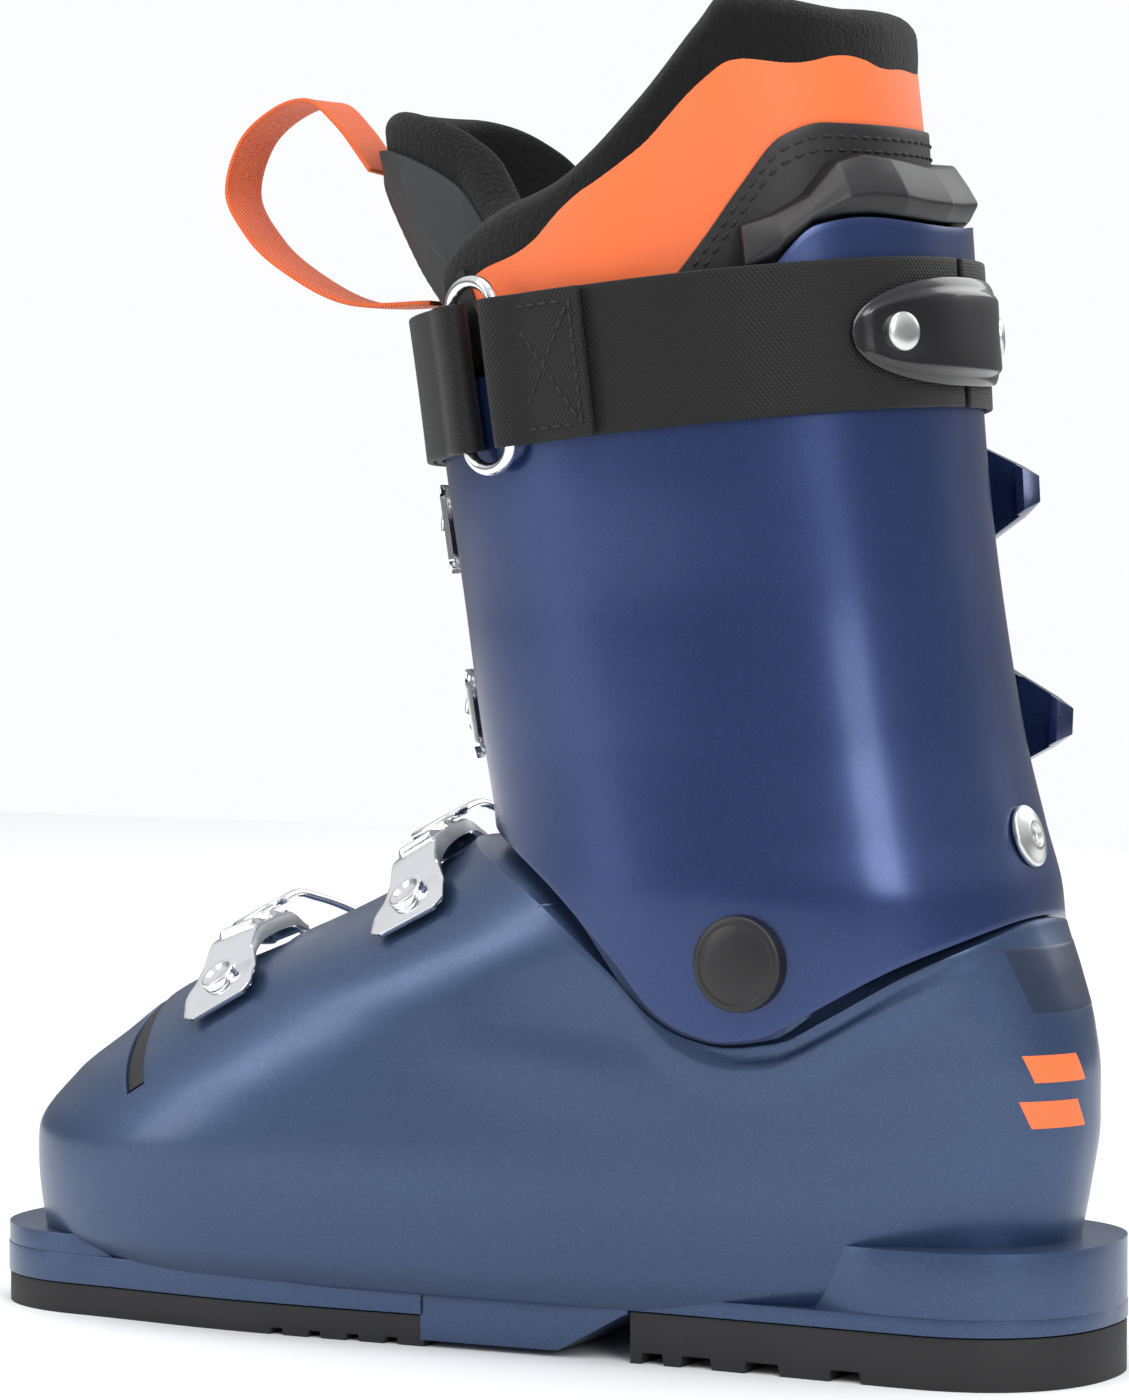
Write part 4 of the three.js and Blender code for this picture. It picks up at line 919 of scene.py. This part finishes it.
def liner_upper(settings):
    wall = settings.cuff_wall / MM
    t = np.radians(np.linspace(34, 326, 190))
    top = liner_rim(t, wall)
    body = padded_band("liner_lining", t, 141, top, lambda a, z: liner_inset(a, z, wall), np.full(len(t), 8.0), 5.2,
                       end=0.03)
    ruffle(body, 0.7, 26, 3)
    settle(shade(body, 70), "cuff", "lining_fleece", "fleece", "liner_upper")

    u = np.linspace(0, 1, 44)[:, None]
    s = np.radians(180 + np.linspace(-1, 1, 200)[None] * lerp(116, 126, u))
    crown = liner_rim(s, wall) - 10.5
    for _ in range(160):
        crown[:, 1:-1] = (crown[:, :-2] + 2 * crown[:, 1:-1] + crown[:, 2:]) / 4
    z = lerp(PANEL_FOOT, crown, u)
    puff = 0.9 * np.sqrt(np.clip(np.sin(u * math.pi), 0, 1))
    panel = surface("liner_panel", cuff.point(s, z, liner_inset(s, z, wall) - 0.5 - puff))
    ruffle(panel, 0.35, 40, 8)
    settle(walled(panel, 1.5, 0.5, 60, 3), "cuff", "liner_orange", "orange")


def liner_trim(settings):
    """Black stitched trim over the panel's lower edge, behind the strap."""
    wall = settings.cuff_wall / MM
    t = np.radians(np.linspace(84, 276, 170))
    head = cuff.crossing(t, trim_top, *CUFF_SPAN)
    z = np.array([lerp(np.full(len(t), PANEL_FOOT), head, u) for u in np.linspace(0, 1, 30)])
    sheet = surface("liner_trim", cuff.point(t, z, liner_inset(t, z, wall) - 2.3))
    settle(walled(sheet, 1.0, 0.35, 60), "cuff", "black_plastic", "trim")
    for k, drop in enumerate((3.0, 6.0)):
        spots = np.radians(np.linspace(88, 272, 96))
        heights = cuff.crossing(spots, trim_top, *CUFF_SPAN) - drop
        p = cuff.point(spots, heights, liner_inset(spots, heights, wall) - 2.35)
        stitches(f"trim_stitches_{k + 1}", p, cuff.normal(p), 2.3, 0.42, 1.2)


def stitches(name, points, normals, length=2.2, width=0.4, gap=0.9):
    """Short threads laid end to end along points, at even spacing."""
    run = length_along(points)
    spots = np.arange(length / 2, run[-1] - length / 2, length + gap)
    place = np.stack([np.interp(spots, run, points[:, k]) for k in range(3)], 1)
    ahead = unit(np.stack([np.interp(spots + 0.5, run, points[:, k]) for k in range(3)], 1) - place)
    out = unit(np.stack([np.interp(spots, run, normals[:, k]) for k in range(3)], 1))
    side = unit(np.cross(out, ahead))
    turn = np.linspace(0, 2 * math.pi, 7)
    shape = np.array([(-0.5, 0.0), (-0.42, 0.75), (0.0, 1.0), (0.42, 0.75), (0.5, 0.0)])
    pieces = []
    for p, a, n, s in zip(place, ahead, out, side):
        around = np.cos(turn)[:, None] * n + np.sin(turn)[:, None] * s
        rings = [p + a * length * x + width * r * around for x, r in shape]
        pieces.append(surface(f"{name}_one", np.array(rings)))
    obj = join(*pieces)
    weld(obj, 0.001)
    face_out(obj)
    obj.name = obj.data.name = name
    return settle(shade(obj, 80), "cuff", "webbing_black", "thread")


def tongue_turn(t):
    return np.degrees(np.abs(np.arctan2(np.sin(t), np.cos(t))))


def tongue_top(t):
    return 282 - 24 * smooth(14, 50, tongue_turn(t))


def tongue_inset(t, z, wall):
    turn = tongue_turn(t)
    middle = lerp(wall * 2 + 4.4, wall + 3, smooth(216, 246, z))
    tucked = liner_inset(np.radians(34), z, wall) + 8 + 3.2 + 1
    lean = 17.5 * smooth(222, 276, z) * (1 - smooth(0, 46, turn))
    return lerp(middle, tucked, smooth(13, 31, turn)) - lean


def tongue(settings):
    wall = settings.cuff_wall / MM
    t = np.radians(np.linspace(-48, 48, 100))
    thick = lerp(9, 4, smooth(15, 48, tongue_turn(t)))
    body = padded_band("tongue_pad", t, 150, tongue_top(t), lambda a, z: tongue_inset(a, z, wall), thick, 4.6,
                       end=0.05)
    ruffle(body, 0.6, 22, 5)
    settle(shade(body, 70), "cuff", "lining_fleece", "fleece", "liner_tongue")

    s = np.radians(np.linspace(-38.4, 38.4, 140))
    head = tongue_top(s) - 9
    z = np.array([lerp(np.full(len(s), 196.0), head, u) for u in np.linspace(0, 1, 70)])
    turn = np.degrees(s)
    ribs = 0
    for side in (-1, 1):
        for start, bend in ((11, 0.3), (19, 0.42)):
            middle = side * (start + bend * (268 - z) * smooth(270, 238, z) * 0.6)
            ribs = ribs + 1.0 * np.exp(-((turn - middle) / 0.9) ** 2) * smooth(216, 226, z) * (1 - smooth(264, 269, z))
    plate = surface("tongue_plate", cuff.point(s, z, tongue_inset(s, z, wall) - 2 * FIT - TONGUE_WALL - ribs))
    settle(walled(plate, TONGUE_WALL, 0.5, 50, 3, 55), "cuff", "tongue_grey", "grey", "tongue_shell")


def ribbed_patches(settings):
    """Ribbed guards on the liner beside the tongue."""
    wall = settings.cuff_wall / MM
    for side, name in ((1, "medial"), (-1, "lateral")):
        u, v = np.meshgrid(np.linspace(0, 1, 90), np.linspace(0, 1, 24))
        if side < 0:
            u = u[:, ::-1]
        t = np.radians(side * lerp(36, 65.5 - 10 * v, u))
        t = np.where(t < 0, t + 2 * math.pi, t)
        top = liner_rim(t, wall) - 9.5
        z = lerp(PANEL_FOOT, top, v)
        ribs = 0.45 * np.maximum(0, np.sin(u * 2 * math.pi * 9 + v * 4)) * (1 - smooth(0.72, 0.76, u))
        hem = 1.1 * smooth(0.8, 0.84, u)
        obj = surface(f"ribbed_guard_{name}", cuff.point(t, z, liner_inset(t, z, wall) - 1.2 - ribs - hem))
        settle(walled(obj, 1.0, 0.3, 50), "cuff", "black_plastic", "trim")


def smooth_route(points, count):
    """A rounded route through points, at even spacing."""
    points = np.array(points, float)
    ends = np.vstack([2 * points[0] - points[1], points, 2 * points[-1] - points[-2]])
    fine = []
    for i in range(len(points) - 1):
        a, b, c, d = ends[i:i + 4]
        before, gap, after = (math.sqrt(np.linalg.norm(end - start)) for start, end in ((a, b), (b, c), (c, d)))
        leave = ((b - a) / before - (c - a) / (before + gap) + (c - b) / gap) * gap
        arrive = ((c - b) / gap - (d - b) / (gap + after) + (d - c) / after) * gap
        for u in np.linspace(0, 1, 24, endpoint=False):
            start = (1 + 2 * u) * (1 - u) ** 2 * b + u * (1 - u) ** 2 * leave
            fine.append(start + u * u * (3 - 2 * u) * c + u * u * (u - 1) * arrive)
    fine = np.array(fine + [points[-1]])
    run = length_along(fine)
    spots = np.linspace(0, run[-1], count)
    return np.stack([np.interp(spots, run, fine[:, k]) for k in range(3)], 1)


def pull_loop(settings):
    wall = settings.cuff_wall / MM

    def seat(y, z):
        face = cuff.point(0.0, z, float(tongue_inset(0.0, z, wall)) - 2 * FIT - TONGUE_WALL)
        return (float(face[0]) + 1.0, y, z)

    route = [seat(5, 238), (47, 3, 238.5), (66, -1, 246), (80, -6, 255), (88, -9, 266), (84, -9, 278), (73, -7, 285),
             (61, -3, 286), (51, 1, 280), seat(4, 268)]
    p = smooth_route(route, 150)
    ahead = unit(np.gradient(p, axis=0))
    w = unit(np.array([0, 1, 0]) - ahead * ahead[:, 1:2])
    frames = {"p": p, "w": w, "n": np.cross(w, ahead)}
    across = np.linspace(-7.5, 7.5, 9)[None] * np.ones((150, 1))
    points = strip(frames, across, 0.12 * np.cos(across / 7.5 * 1.5))
    obj = surface("pull_loop_webbing", points, band_uv(points))
    settle(walled(obj, 1.1, 0.35, 50, offset=0.0), "cuff", "webbing_orange", "loop", "pull_loop")


# ---------------------------------------------------------------- power strap

RING_FRONT, RING_REAR = 50.0, 63.0
BAR_HEIGHT = FIT + RING_WIRE + RUN + 1.4


def strap_frames(degrees):
    return cuff_path(223.5, 0.1, degrees)


def strap_band(name, layer_angles, bar_angle, back_angles, nodes):
    """One webbing length: along the cuff, round a bar of the ring and back over itself."""
    ahead = 1 if layer_angles[-1] > layer_angles[0] else -1
    low = FIT + WEBBING / 2
    high = low + WEBBING + FIT
    radius = RING_WIRE + RUN + WEBBING / 2
    arc = np.linspace(-math.pi / 2, math.pi / 2, 16)
    bar = strap_frames([bar_angle])
    run = strap_frames(layer_angles)
    back = strap_frames(back_angles)
    fade = smooth(0.0, 1.0, 1 - np.abs(np.asarray(back_angles) - bar_angle) / 9.0)
    lower = run["p"] + run["n"] * low
    over = bar["p"] + bar["n"] * (BAR_HEIGHT + radius * np.sin(arc))[:, None]
    over = over + bar["t"] * ahead * (radius * np.cos(arc))[:, None]
    upper = back["p"] + back["n"] * (high + (BAR_HEIGHT + radius - high) * fade)[:, None]
    centre = np.concatenate([lower, over, upper[1:]])
    w = np.concatenate([run["w"], np.repeat(bar["w"], len(arc), 0), back["w"][1:]])
    across = np.linspace(-STRAP_HALF, STRAP_HALF, 21)
    points = centre[:, None] + w[:, None] * across[None, :, None]
    sag = 0.25 * np.cos(across / STRAP_HALF * 1.4)
    flow = unit(np.gradient(centre, axis=0))
    points = points + np.cross(w, flow)[:, None] * (sag[None, :, None] * 0.6)
    obj = surface(name, points, band_uv(points))
    settle(walled(obj, WEBBING * 0.92, 0.45, 60, offset=0.0), "cuff", "webbing_black", "strap", *nodes)


def power_strap():
    strap_band("strap_long_webbing", np.linspace(-179, RING_FRONT - 1.5, 220), RING_FRONT,
               np.linspace(RING_FRONT - 0.5, -48, 110), ["strap_long"])
    strap_band("strap_short_webbing", np.linspace(179, RING_REAR + 1.5, 120), RING_REAR,
               np.linspace(RING_REAR + 0.5, 86, 40), ["strap_short"])
    high = 2 * FIT + 2 * WEBBING + 0.1
    a = strap_frames(np.linspace(66.5, 83.5, 60))
    for k, side in enumerate((-13.5, 13.5)):
        stitches(f"strap_seam_{k + 1}", a["p"] + a["w"] * side + a["n"] * high, a["n"])
    for k, (s0, s1) in enumerate(((-13.5, 13.5), (13.5, -13.5))):
        side = np.linspace(s0, s1, 60)[:, None]
        stitches(f"strap_cross_{k + 1}", a["p"] + a["w"] * side + a["n"] * high, a["n"])
    for k, angle in enumerate((66.5, 83.5)):
        b = strap_frames([angle])
        side = np.linspace(-13.5, 13.5, 40)[:, None]
        p = b["p"] + b["w"] * side + b["n"] * high
        stitches(f"strap_box_{k + 1}", p, np.repeat(b["n"], 40, 0))


def strap_ring():
    middle = strap_frames([(RING_FRONT + RING_REAR) / 2])
    spots = [strap_frames([a]) for a in (RING_FRONT, RING_REAR)]
    front, rear = (s["p"][0] + s["n"][0] * BAR_HEIGHT for s in spots)
    centre, half = (front + rear) / 2, (front - rear) / 2
    reach = np.linalg.norm(half)
    w = middle["w"][0]
    route = []
    for sign in (1, -1):
        for a in np.linspace(0, math.pi, 9):
            route.append(centre + half * sign * math.cos(a) + w * sign * (STRAP_HALF - 1 + reach * 0.75 * math.sin(a)))
    ring = tube("strap_ring_visual", np.array(route), RING_WIRE, closed=True)
    settle(ring, "cuff", "polished_steel", "chrome", "strap_ring")


def strap_anchor():
    u = np.linspace(0, 1, 120)
    frames = strap_frames(np.linspace(146, 214, 120))
    end = np.abs(2 * u - 1)
    half = 0.4 + 11.6 * np.sqrt(np.clip(1 - end**2.6, 0, 1))
    v = np.linspace(-1, 1, 41)
    across = half[:, None] * v[None]
    base = 2 * FIT + WEBBING
    rim = 1 - np.abs(v)[None] ** 6
    dome = 1.2 + 1.6 * (1 - end[:, None] ** 4) * rim
    step = smooth(0.80, 0.72, np.abs(v))[None] * smooth(0.93, 0.86, end)[:, None]
    dish = np.exp(-((end[:, None] - 0.68) / 0.17) ** 2 - (across / 7) ** 2)
    up = base + dome * (0.72 + 0.28 * step) - 1.1 * dish
    obj = surface("strap_anchor_plate", strip(frames, across, up))
    settle(walled(obj, 1.6, 0.3, 50), "cuff", "gloss_black", "gloss", "strap_anchor")
    for side, sign in (("medial", 1), ("lateral", -1)):
        spot = strap_frames([180 - sign * 23.0])
        head = button(f"anchor_rivet_head_{side}", spot["p"][0] + spot["n"][0] * (base + 0.9), spot["n"][0], 4.3, 1.5,
                      [(0.5, 0.35), (1.3, 0.35), (1.2, 0.1)], 0.2)
        settle(head, "cuff", "zinc_steel", "zinc", f"anchor_rivet_{side}")


# ---------------------------------------------------------------- buckles

BUCKLES = [
    dict(id=1, form=foot, body="shell", origin=(51, 0, 51), ahead=RIDGE, ladder=(54, -6), rivet=43, base=-58, tip=-106,
         arch=4, stand_off=9, ahead_plate=14, behind_plate=16, clear=18),
    dict(id=2, form=foot, body="shell", origin=(1, 0, 74), ahead=RIDGE, ladder=(56, -6), rivet=45, base=-58, tip=-106,
         arch=4, stand_off=9, ahead_plate=14, behind_plate=16, clear=18),
    dict(id=3, form=cuff, body="cuff", origin=(-45, 0, 142), ahead=unit((1, 0, 0.035)), ladder=(17, -24), rivet=9,
         base=-61, tip=-142, arch=1.2, stand_off=21, ahead_plate=12, behind_plate=12, clear=15),
    dict(id=4, form=cuff, body="cuff", origin=(-45, 0, 190), ahead=unit((1, 0, -0.064)), ladder=(17, -24), rivet=9,
         base=-61, tip=-140, arch=1.2, stand_off=17, ahead_plate=12, behind_plate=12, clear=15),
]


def spot_of(b, degrees):
    frames = b["form"].path(b["origin"], b["ahead"], [degrees])
    return {k: frames[k][0] for k in "pnwt"}


def lever_axes(b):
    base, tip = spot_of(b, b["base"]), spot_of(b, b["tip"])
    pivot = base["p"] + base["n"] * PIN_HEIGHT
    end = tip["p"] + tip["n"] * b["stand_off"]
    w = base["w"]
    reach = end - pivot
    reach = reach - w * reach.dot(w)
    t = unit(reach)
    n = unit(np.cross(t, w))
    if n.dot(base["n"]) < 0:
        n = -n
    return pivot, t, n, np.cross(t, n)


def ladder(b):
    count = 150
    frames = b["form"].path(b["origin"], b["ahead"], np.linspace(*b["ladder"], count))
    u = frames["u"]
    rise = b["arch"] * smooth(0.22, 0.5, u) * (1 - 0.8 * smooth(0.8, 1, u))
    teeth = np.zeros(count)
    for start in TEETH:
        past = (u - start) / TOOTH_LENGTH
        tooth = 1.8 * (1 - smooth(0.15, 1, past)) * smooth(-0.12, 0.02, past)
        teeth = np.maximum(teeth, np.where((past > -0.12) & (past < 1), tooth, 0))
    half = curve([(0, 8), (0.045, 10.3), (0.13, 10.3), (0.26, 8.2), (0.36, 6.9), (0.5, 6.9), (0.8, 7.4), (1, 5.6)])(u)
    v = np.concatenate([[-1, -1], np.linspace(-0.94, 0.94, 23), [1, 1]])
    edge = np.concatenate([[1, 0.16], np.zeros(23), [0.16, 1]])
    wall = (0.55 + 0.62 * rise + 0.5 * smooth(0.1, 0.3, u))[:, None] * edge[None]
    inner = smooth(0.8, 0.66, np.abs(v))[None]
    up = SEAT + LADDER_THICK + rise[:, None] + teeth[:, None] * inner - wall
    obj = surface(f"ladder_plate_{b['id']}", strip(frames, half[:, None] * v[None], up))
    face_towards(obj, frames["n"].mean(0))
    settle(walled(obj, 1.3, 0.3, 32, edge=45), b["body"], "polished_steel", "chrome", f"ladder_{b['id']}")
    obj.data.materials.append(FINISHES["cast"])
    stations = metres(frames["p"])
    for face in obj.data.polygons:
        near = np.argmin(np.linalg.norm(stations - np.array(face.center), axis=1))
        face.material_index = int(abs(Vector(frames["w"][near]).dot(face.normal)) > 0.6)
    spot = spot_of(b, b["rivet"])
    head = button(f"ladder_rivet_head_{b['id']}", spot["p"] + spot["n"] * (SEAT + LADDER_THICK - 0.3), spot["n"],
                  4.8, 1.5, [(0.35, 0.5), (0.9, 0.1), (0.9, -0.8), (0.4, -0.1)], 0.2)
    settle(head, b["body"], "polished_steel", "chrome", f"ladder_rivet_{b['id']}")


def lever(b):
    pivot, t, n, side = lever_axes(b)
    obj = from_node(f"lever_arm_{b['id']}", f"lever_{b['id']}", 0.7, 3)
    settle(obj, f"lever_{b['id']}", "lever_blue", "lever", f"lever_{b['id']}")
    bail_spot = pivot + t * BAIL_REACH + n
    for name, spot, piece in (("lever_pin", pivot, "pivot_pin"), ("bail_pin", bail_spot, "bail_pin_round")):
        pin = button(f"{piece}_{b['id']}", spot - side * (LEVER_HALF + 0.2), side, PIN_R, 2 * LEVER_HALF + 0.4,
                     [(0.5, 0.1)], 0.25, 24)
        settle(pin, f"lever_{b['id']}", "zinc_steel", "zinc", f"{name}_{b['id']}")
    base = from_node(f"lever_foot_{b['id']}", f"lever_base_{b['id']}", 0.4, 2)
    settle(base, b["body"], "black_plastic", "black", f"lever_base_{b['id']}")
    spot = spot_of(b, b["base"] + 8)
    head = button(f"foot_rivet_head_{b['id']}", spot["p"] + spot["n"] * (SEAT + 2), spot["n"], 2.7, 1.0,
                  [(0.3, 0.25), (0.8, 0.2)], 0.15, 32)
    settle(head, b["body"], "zinc_steel", "zinc", f"lever_base_rivet_{b['id']}")


def bail(b):
    pivot, t, n, side = lever_axes(b)
    eye = pivot + t * BAIL_REACH + n
    hook_angle = lerp(*b["ladder"], HOOK_AT)
    hook = spot_of(b, hook_angle)
    tooth = SEAT + LADDER_THICK + b["arch"] + BAIL_WIRE + 3 * FIT
    route = [eye, pivot + n * 3.6]
    for i, angle in enumerate(np.linspace(b["base"] + b["clear"], hook_angle - 14, 5)):
        frame_at = spot_of(b, angle)
        route.append(frame_at["p"] + frame_at["n"] * lerp(7.6, tooth + 1.9, i / 4))
    bar = hook["p"] + hook["n"] * tooth
    route.append(bar + unit(bar - route[-1]) * -2.2)

    def shifted(p, to):
        return p + side * (to - side.dot(p - pivot))

    def strand(sign):
        return [shifted(p, sign * BAIL_HALF) for p in route] + [shifted(bar, sign * (BAIL_HALF - 2.2))]

    points = smooth_route(strand(1) + strand(-1)[::-1], 90)
    wire = tube(f"bail_wire_{b['id']}", points, BAIL_WIRE - 0.14)
    eyes = []
    for sign in (1, -1):
        eyes.append(button(f"bail_eye_{sign}", eye + side * (sign * BAIL_HALF - 1.3), side, PIN_R + RUN + 1.0, 2.6,
                           [(1.0, 0)], 0.25, 32))
    join(wire, *eyes)
    settle(wire, f"bail_{b['id']}", "polished_steel", "chrome", f"bail_{b['id']}")


# ---------------------------------------------------------------- stage


def sky_gradient(tree, strength):
    """A studio room: dim near the horizon, bright overhead, and plain white where it is seen directly."""
    nodes, links = tree.nodes, tree.links
    coords = nodes.new("ShaderNodeTexCoord")
    height = nodes.new("ShaderNodeSeparateXYZ")
    span = nodes.new("ShaderNodeMapRange")
    ray = nodes.new("ShaderNodeLightPath")
    pick_white = nodes.new("ShaderNodeMix")
    links.new(coords.outputs["Generated"], height.inputs["Vector"])
    links.new(height.outputs["Z"], span.inputs["Value"])
    span.interpolation_type = "SMOOTHSTEP"
    span.inputs["From Min"].default_value = 0.05
    span.inputs["From Max"].default_value = 0.55
    span.inputs["To Min"].default_value = strength * 0.28
    span.inputs["To Max"].default_value = strength
    links.new(ray.outputs["Is Camera Ray"], pick_white.inputs["Factor"])
    links.new(span.outputs["Result"], pick_white.inputs["A"])
    pick_white.inputs["B"].default_value = 1.0
    background = nodes["Background"]
    background.inputs["Color"].default_value = (0.97, 0.98, 1.0, 1)
    links.new(pick_white.outputs["Result"], background.inputs["Strength"])


def stage(settings):
    bpy.ops.mesh.primitive_plane_add(size=3.2, location=(0, 0, 0))
    floor = bpy.context.object
    floor.name = "floor"
    ground = Finish("floor_pale", tuple(settings.floor_colour), 0.85)
    ground.rough(ground.noise(6.0, 3.0), 0.8, 0.9)
    floor.data.materials.append(ground.material)
    world = bpy.data.worlds.new("studio")
    bpy.context.scene.world = world
    world.use_nodes = True
    sky_gradient(world.node_tree, settings.sky)
    lamps = [
        ("key", (-1.5, 1.2, 1.3), (0.7, 1.6), settings.key),
        ("left", (1.5, 1.3, 0.9), (0.5, 1.5), settings.fill),
        ("top", (0.1, 0.2, 2.3), (1.6, 1.6), settings.top),
        ("back", (-0.7, -1.8, 1.2), (1.4, 1.2), settings.fill),
    ]
    for name, place, (wide, tall), power in lamps:
        bpy.ops.object.light_add(type="AREA", location=place)
        lamp = bpy.context.object
        lamp.name = f"{name}_light"
        lamp.data.shape = "RECTANGLE"
        lamp.data.size, lamp.data.size_y = wide, tall
        lamp.data.energy = power
        lamp.rotation_euler = (Vector((0, 0, 0.14)) - Vector(place)).to_track_quat("-Z", "Y").to_euler()
    turn = math.radians(29.3)
    aim_right, aim_down = 0.003693, 0.038258
    right = np.array([-math.cos(turn), -math.sin(turn), 0])
    ahead = np.array([math.sin(turn), -math.cos(turn), 0])
    look = ahead + right * aim_right - np.array([0, 0, aim_down])
    bpy.ops.object.camera_add(location=metres((-597.0, 1063.9, 193.0)))
    camera = bpy.context.object
    camera.rotation_euler = Vector(look).to_track_quat("-Z", "Y").to_euler()
    camera.data.lens = 135.77
    camera.data.sensor_width = 36
    camera.data.clip_end = 20
    bpy.context.scene.camera = camera
    bpy.context.scene.view_settings.view_transform = "Standard"


# ---------------------------------------------------------------- settings, operators and panel


def number(name, description, default, unit="NONE"):
    return bpy.props.FloatProperty(name=name, description=description, default=default, unit=unit)


def colour(name, description, default):
    return bpy.props.FloatVectorProperty(name=name, description=description, default=default, subtype="COLOR")


class BootShellSettings(bpy.types.PropertyGroup):
    """Sizes and colours of the plastic shells."""

    shell_wall: number("Shell Wall", "Wall of the lower shell", 0.004, "LENGTH")
    cuff_wall: number("Cuff Wall", "Wall of the cuff", 0.0036, "LENGTH")
    edge_round: number("Edge Rounding", "Radius along moulded edges", 0.0009, "LENGTH")
    shell_colour: colour("Shell Colour", "Metallic paint of the lower shell", (0.04, 0.07, 0.145))
    cuff_colour: colour("Cuff Colour", "Metallic paint of the cuff", (0.021, 0.042, 0.135))
    liner_colour: colour("Liner Colour", "Laminated fabric of the liner", (0.93, 0.17, 0.045))


class BootStageSettings(bpy.types.PropertyGroup):
    """Floor and lights."""

    floor_colour: colour("Floor Colour", "Pale floor", (0.9, 0.9, 0.9))
    key: number("Key Light", "Power of the key light", 21.0, "POWER")
    fill: number("Fill Lights", "Power of each fill light", 11.0, "POWER")
    top: number("Top Light", "Power of the top light", 24.0, "POWER")
    sky: number("Sky", "Strength of the surrounding light", 0.85)


def operator(idname, label, doc, work):
    """An operator class that runs one piece's function."""

    def execute(self, context):
        work(context.scene)
        return {"FINISHED"}

    name = "BOOT_OT_" + idname
    return type(name, (bpy.types.Operator,), {"bl_idname": f"boot.{idname}", "bl_label": label, "__doc__": doc,
                                              "bl_options": {"REGISTER", "UNDO"}, "execute": execute})


OPERATORS = [
    operator("finishes", "Finishes", "Mix the materials", lambda s: mix_finishes(s.boot_shell)),
    operator("lower_shell", "Lower Shell", "Add the lower shell and its band", lambda s: lower_shell(s.boot_shell)),
    operator("heel_marks", "Heel Marks", "Add the heel panel and two plain bars", lambda s: heel_marks()),
    operator("forefoot_flap", "Forefoot Flap", "Add the overlapping flap", lambda s: forefoot_flap()),
    operator("toe_gasket", "Toe Gasket", "Add the rubber strip", lambda s: toe_gasket()),
    operator("sole_pads", "Sole Pads", "Add the two rubber pads", lambda s: sole_pads()),
    operator("cuff_shell", "Cuff", "Add the cuff", lambda s: cuff_shell(s.boot_shell)),
    operator("calf_spoiler", "Calf Spoiler", "Add the faceted spoiler", lambda s: calf_spoiler(s.boot_shell)),
    operator("pivots", "Pivots", "Add the pivot caps and the spine bolt", lambda s: pivots()),
    operator("liner_upper", "Liner", "Add the padded liner and its panel", lambda s: liner_upper(s.boot_shell)),
    operator("liner_trim", "Liner Trim", "Add the stitched trim", lambda s: liner_trim(s.boot_shell)),
    operator("tongue", "Tongue", "Add the tongue's pad and plate", lambda s: tongue(s.boot_shell)),
    operator("ribbed_patches", "Ribbed Guards", "Add the ribbed guards", lambda s: ribbed_patches(s.boot_shell)),
    operator("pull_loop", "Pull Loop", "Add the webbing loop", lambda s: pull_loop(s.boot_shell)),
    operator("power_strap", "Power Strap", "Add the webbing strap and its seams", lambda s: power_strap()),
    operator("strap_ring", "Strap Ring", "Add the oblong ring", lambda s: strap_ring()),
    operator("strap_anchor", "Strap Anchor", "Add the anchor plate and rivets", lambda s: strap_anchor()),
    operator("ladders", "Ladders", "Add the buckle ladders", lambda s: [ladder(b) for b in BUCKLES]),
    operator("levers", "Levers", "Add the buckle levers", lambda s: [lever(b) for b in BUCKLES]),
    operator("bails", "Bails", "Add the wire bails", lambda s: [bail(b) for b in BUCKLES]),
    operator("stage", "Stage", "Add the floor, lights and camera", lambda s: stage(s.boot_stage)),
]


class BOOT_PT_panel(bpy.types.Panel):
    """Ski boot tools in the sidebar."""

    bl_idname = "BOOT_PT_panel"
    bl_label = "Ski Boot"
    bl_space_type = "VIEW_3D"
    bl_region_type = "UI"
    bl_category = "Ski Boot"

    def draw(self, context):
        for group in (context.scene.boot_shell, context.scene.boot_stage):
            for name in group.__annotations__:
                self.layout.prop(group, name)
        for made in OPERATORS:
            self.layout.operator(made.bl_idname)


CLASSES = [BootShellSettings, BootStageSettings, *OPERATORS, BOOT_PT_panel]


def register():
    for cls in CLASSES:
        bpy.utils.register_class(cls)
    bpy.types.Scene.boot_shell = bpy.props.PointerProperty(type=BootShellSettings)
    bpy.types.Scene.boot_stage = bpy.props.PointerProperty(type=BootStageSettings)


def unregister():
    del bpy.types.Scene.boot_stage, bpy.types.Scene.boot_shell
    for cls in reversed(CLASSES):
        bpy.utils.unregister_class(cls)


def main():
    register()
    for made in OPERATORS:
        getattr(bpy.ops.boot, made.bl_idname.split(".")[1])()
    inner = {"boot_board": "board", "insole": "lining", "liner_foot": "lining", "pivot_nut_medial": "zinc",
             "pivot_nut_lateral": "zinc", "spine_nut": "zinc"}
    for node, finish in inner.items():
        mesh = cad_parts[node].data
        mesh.materials.clear()
        mesh.materials.append(FINISHES[finish])
    clear_selection()


if __name__ == "__main__":
    main()
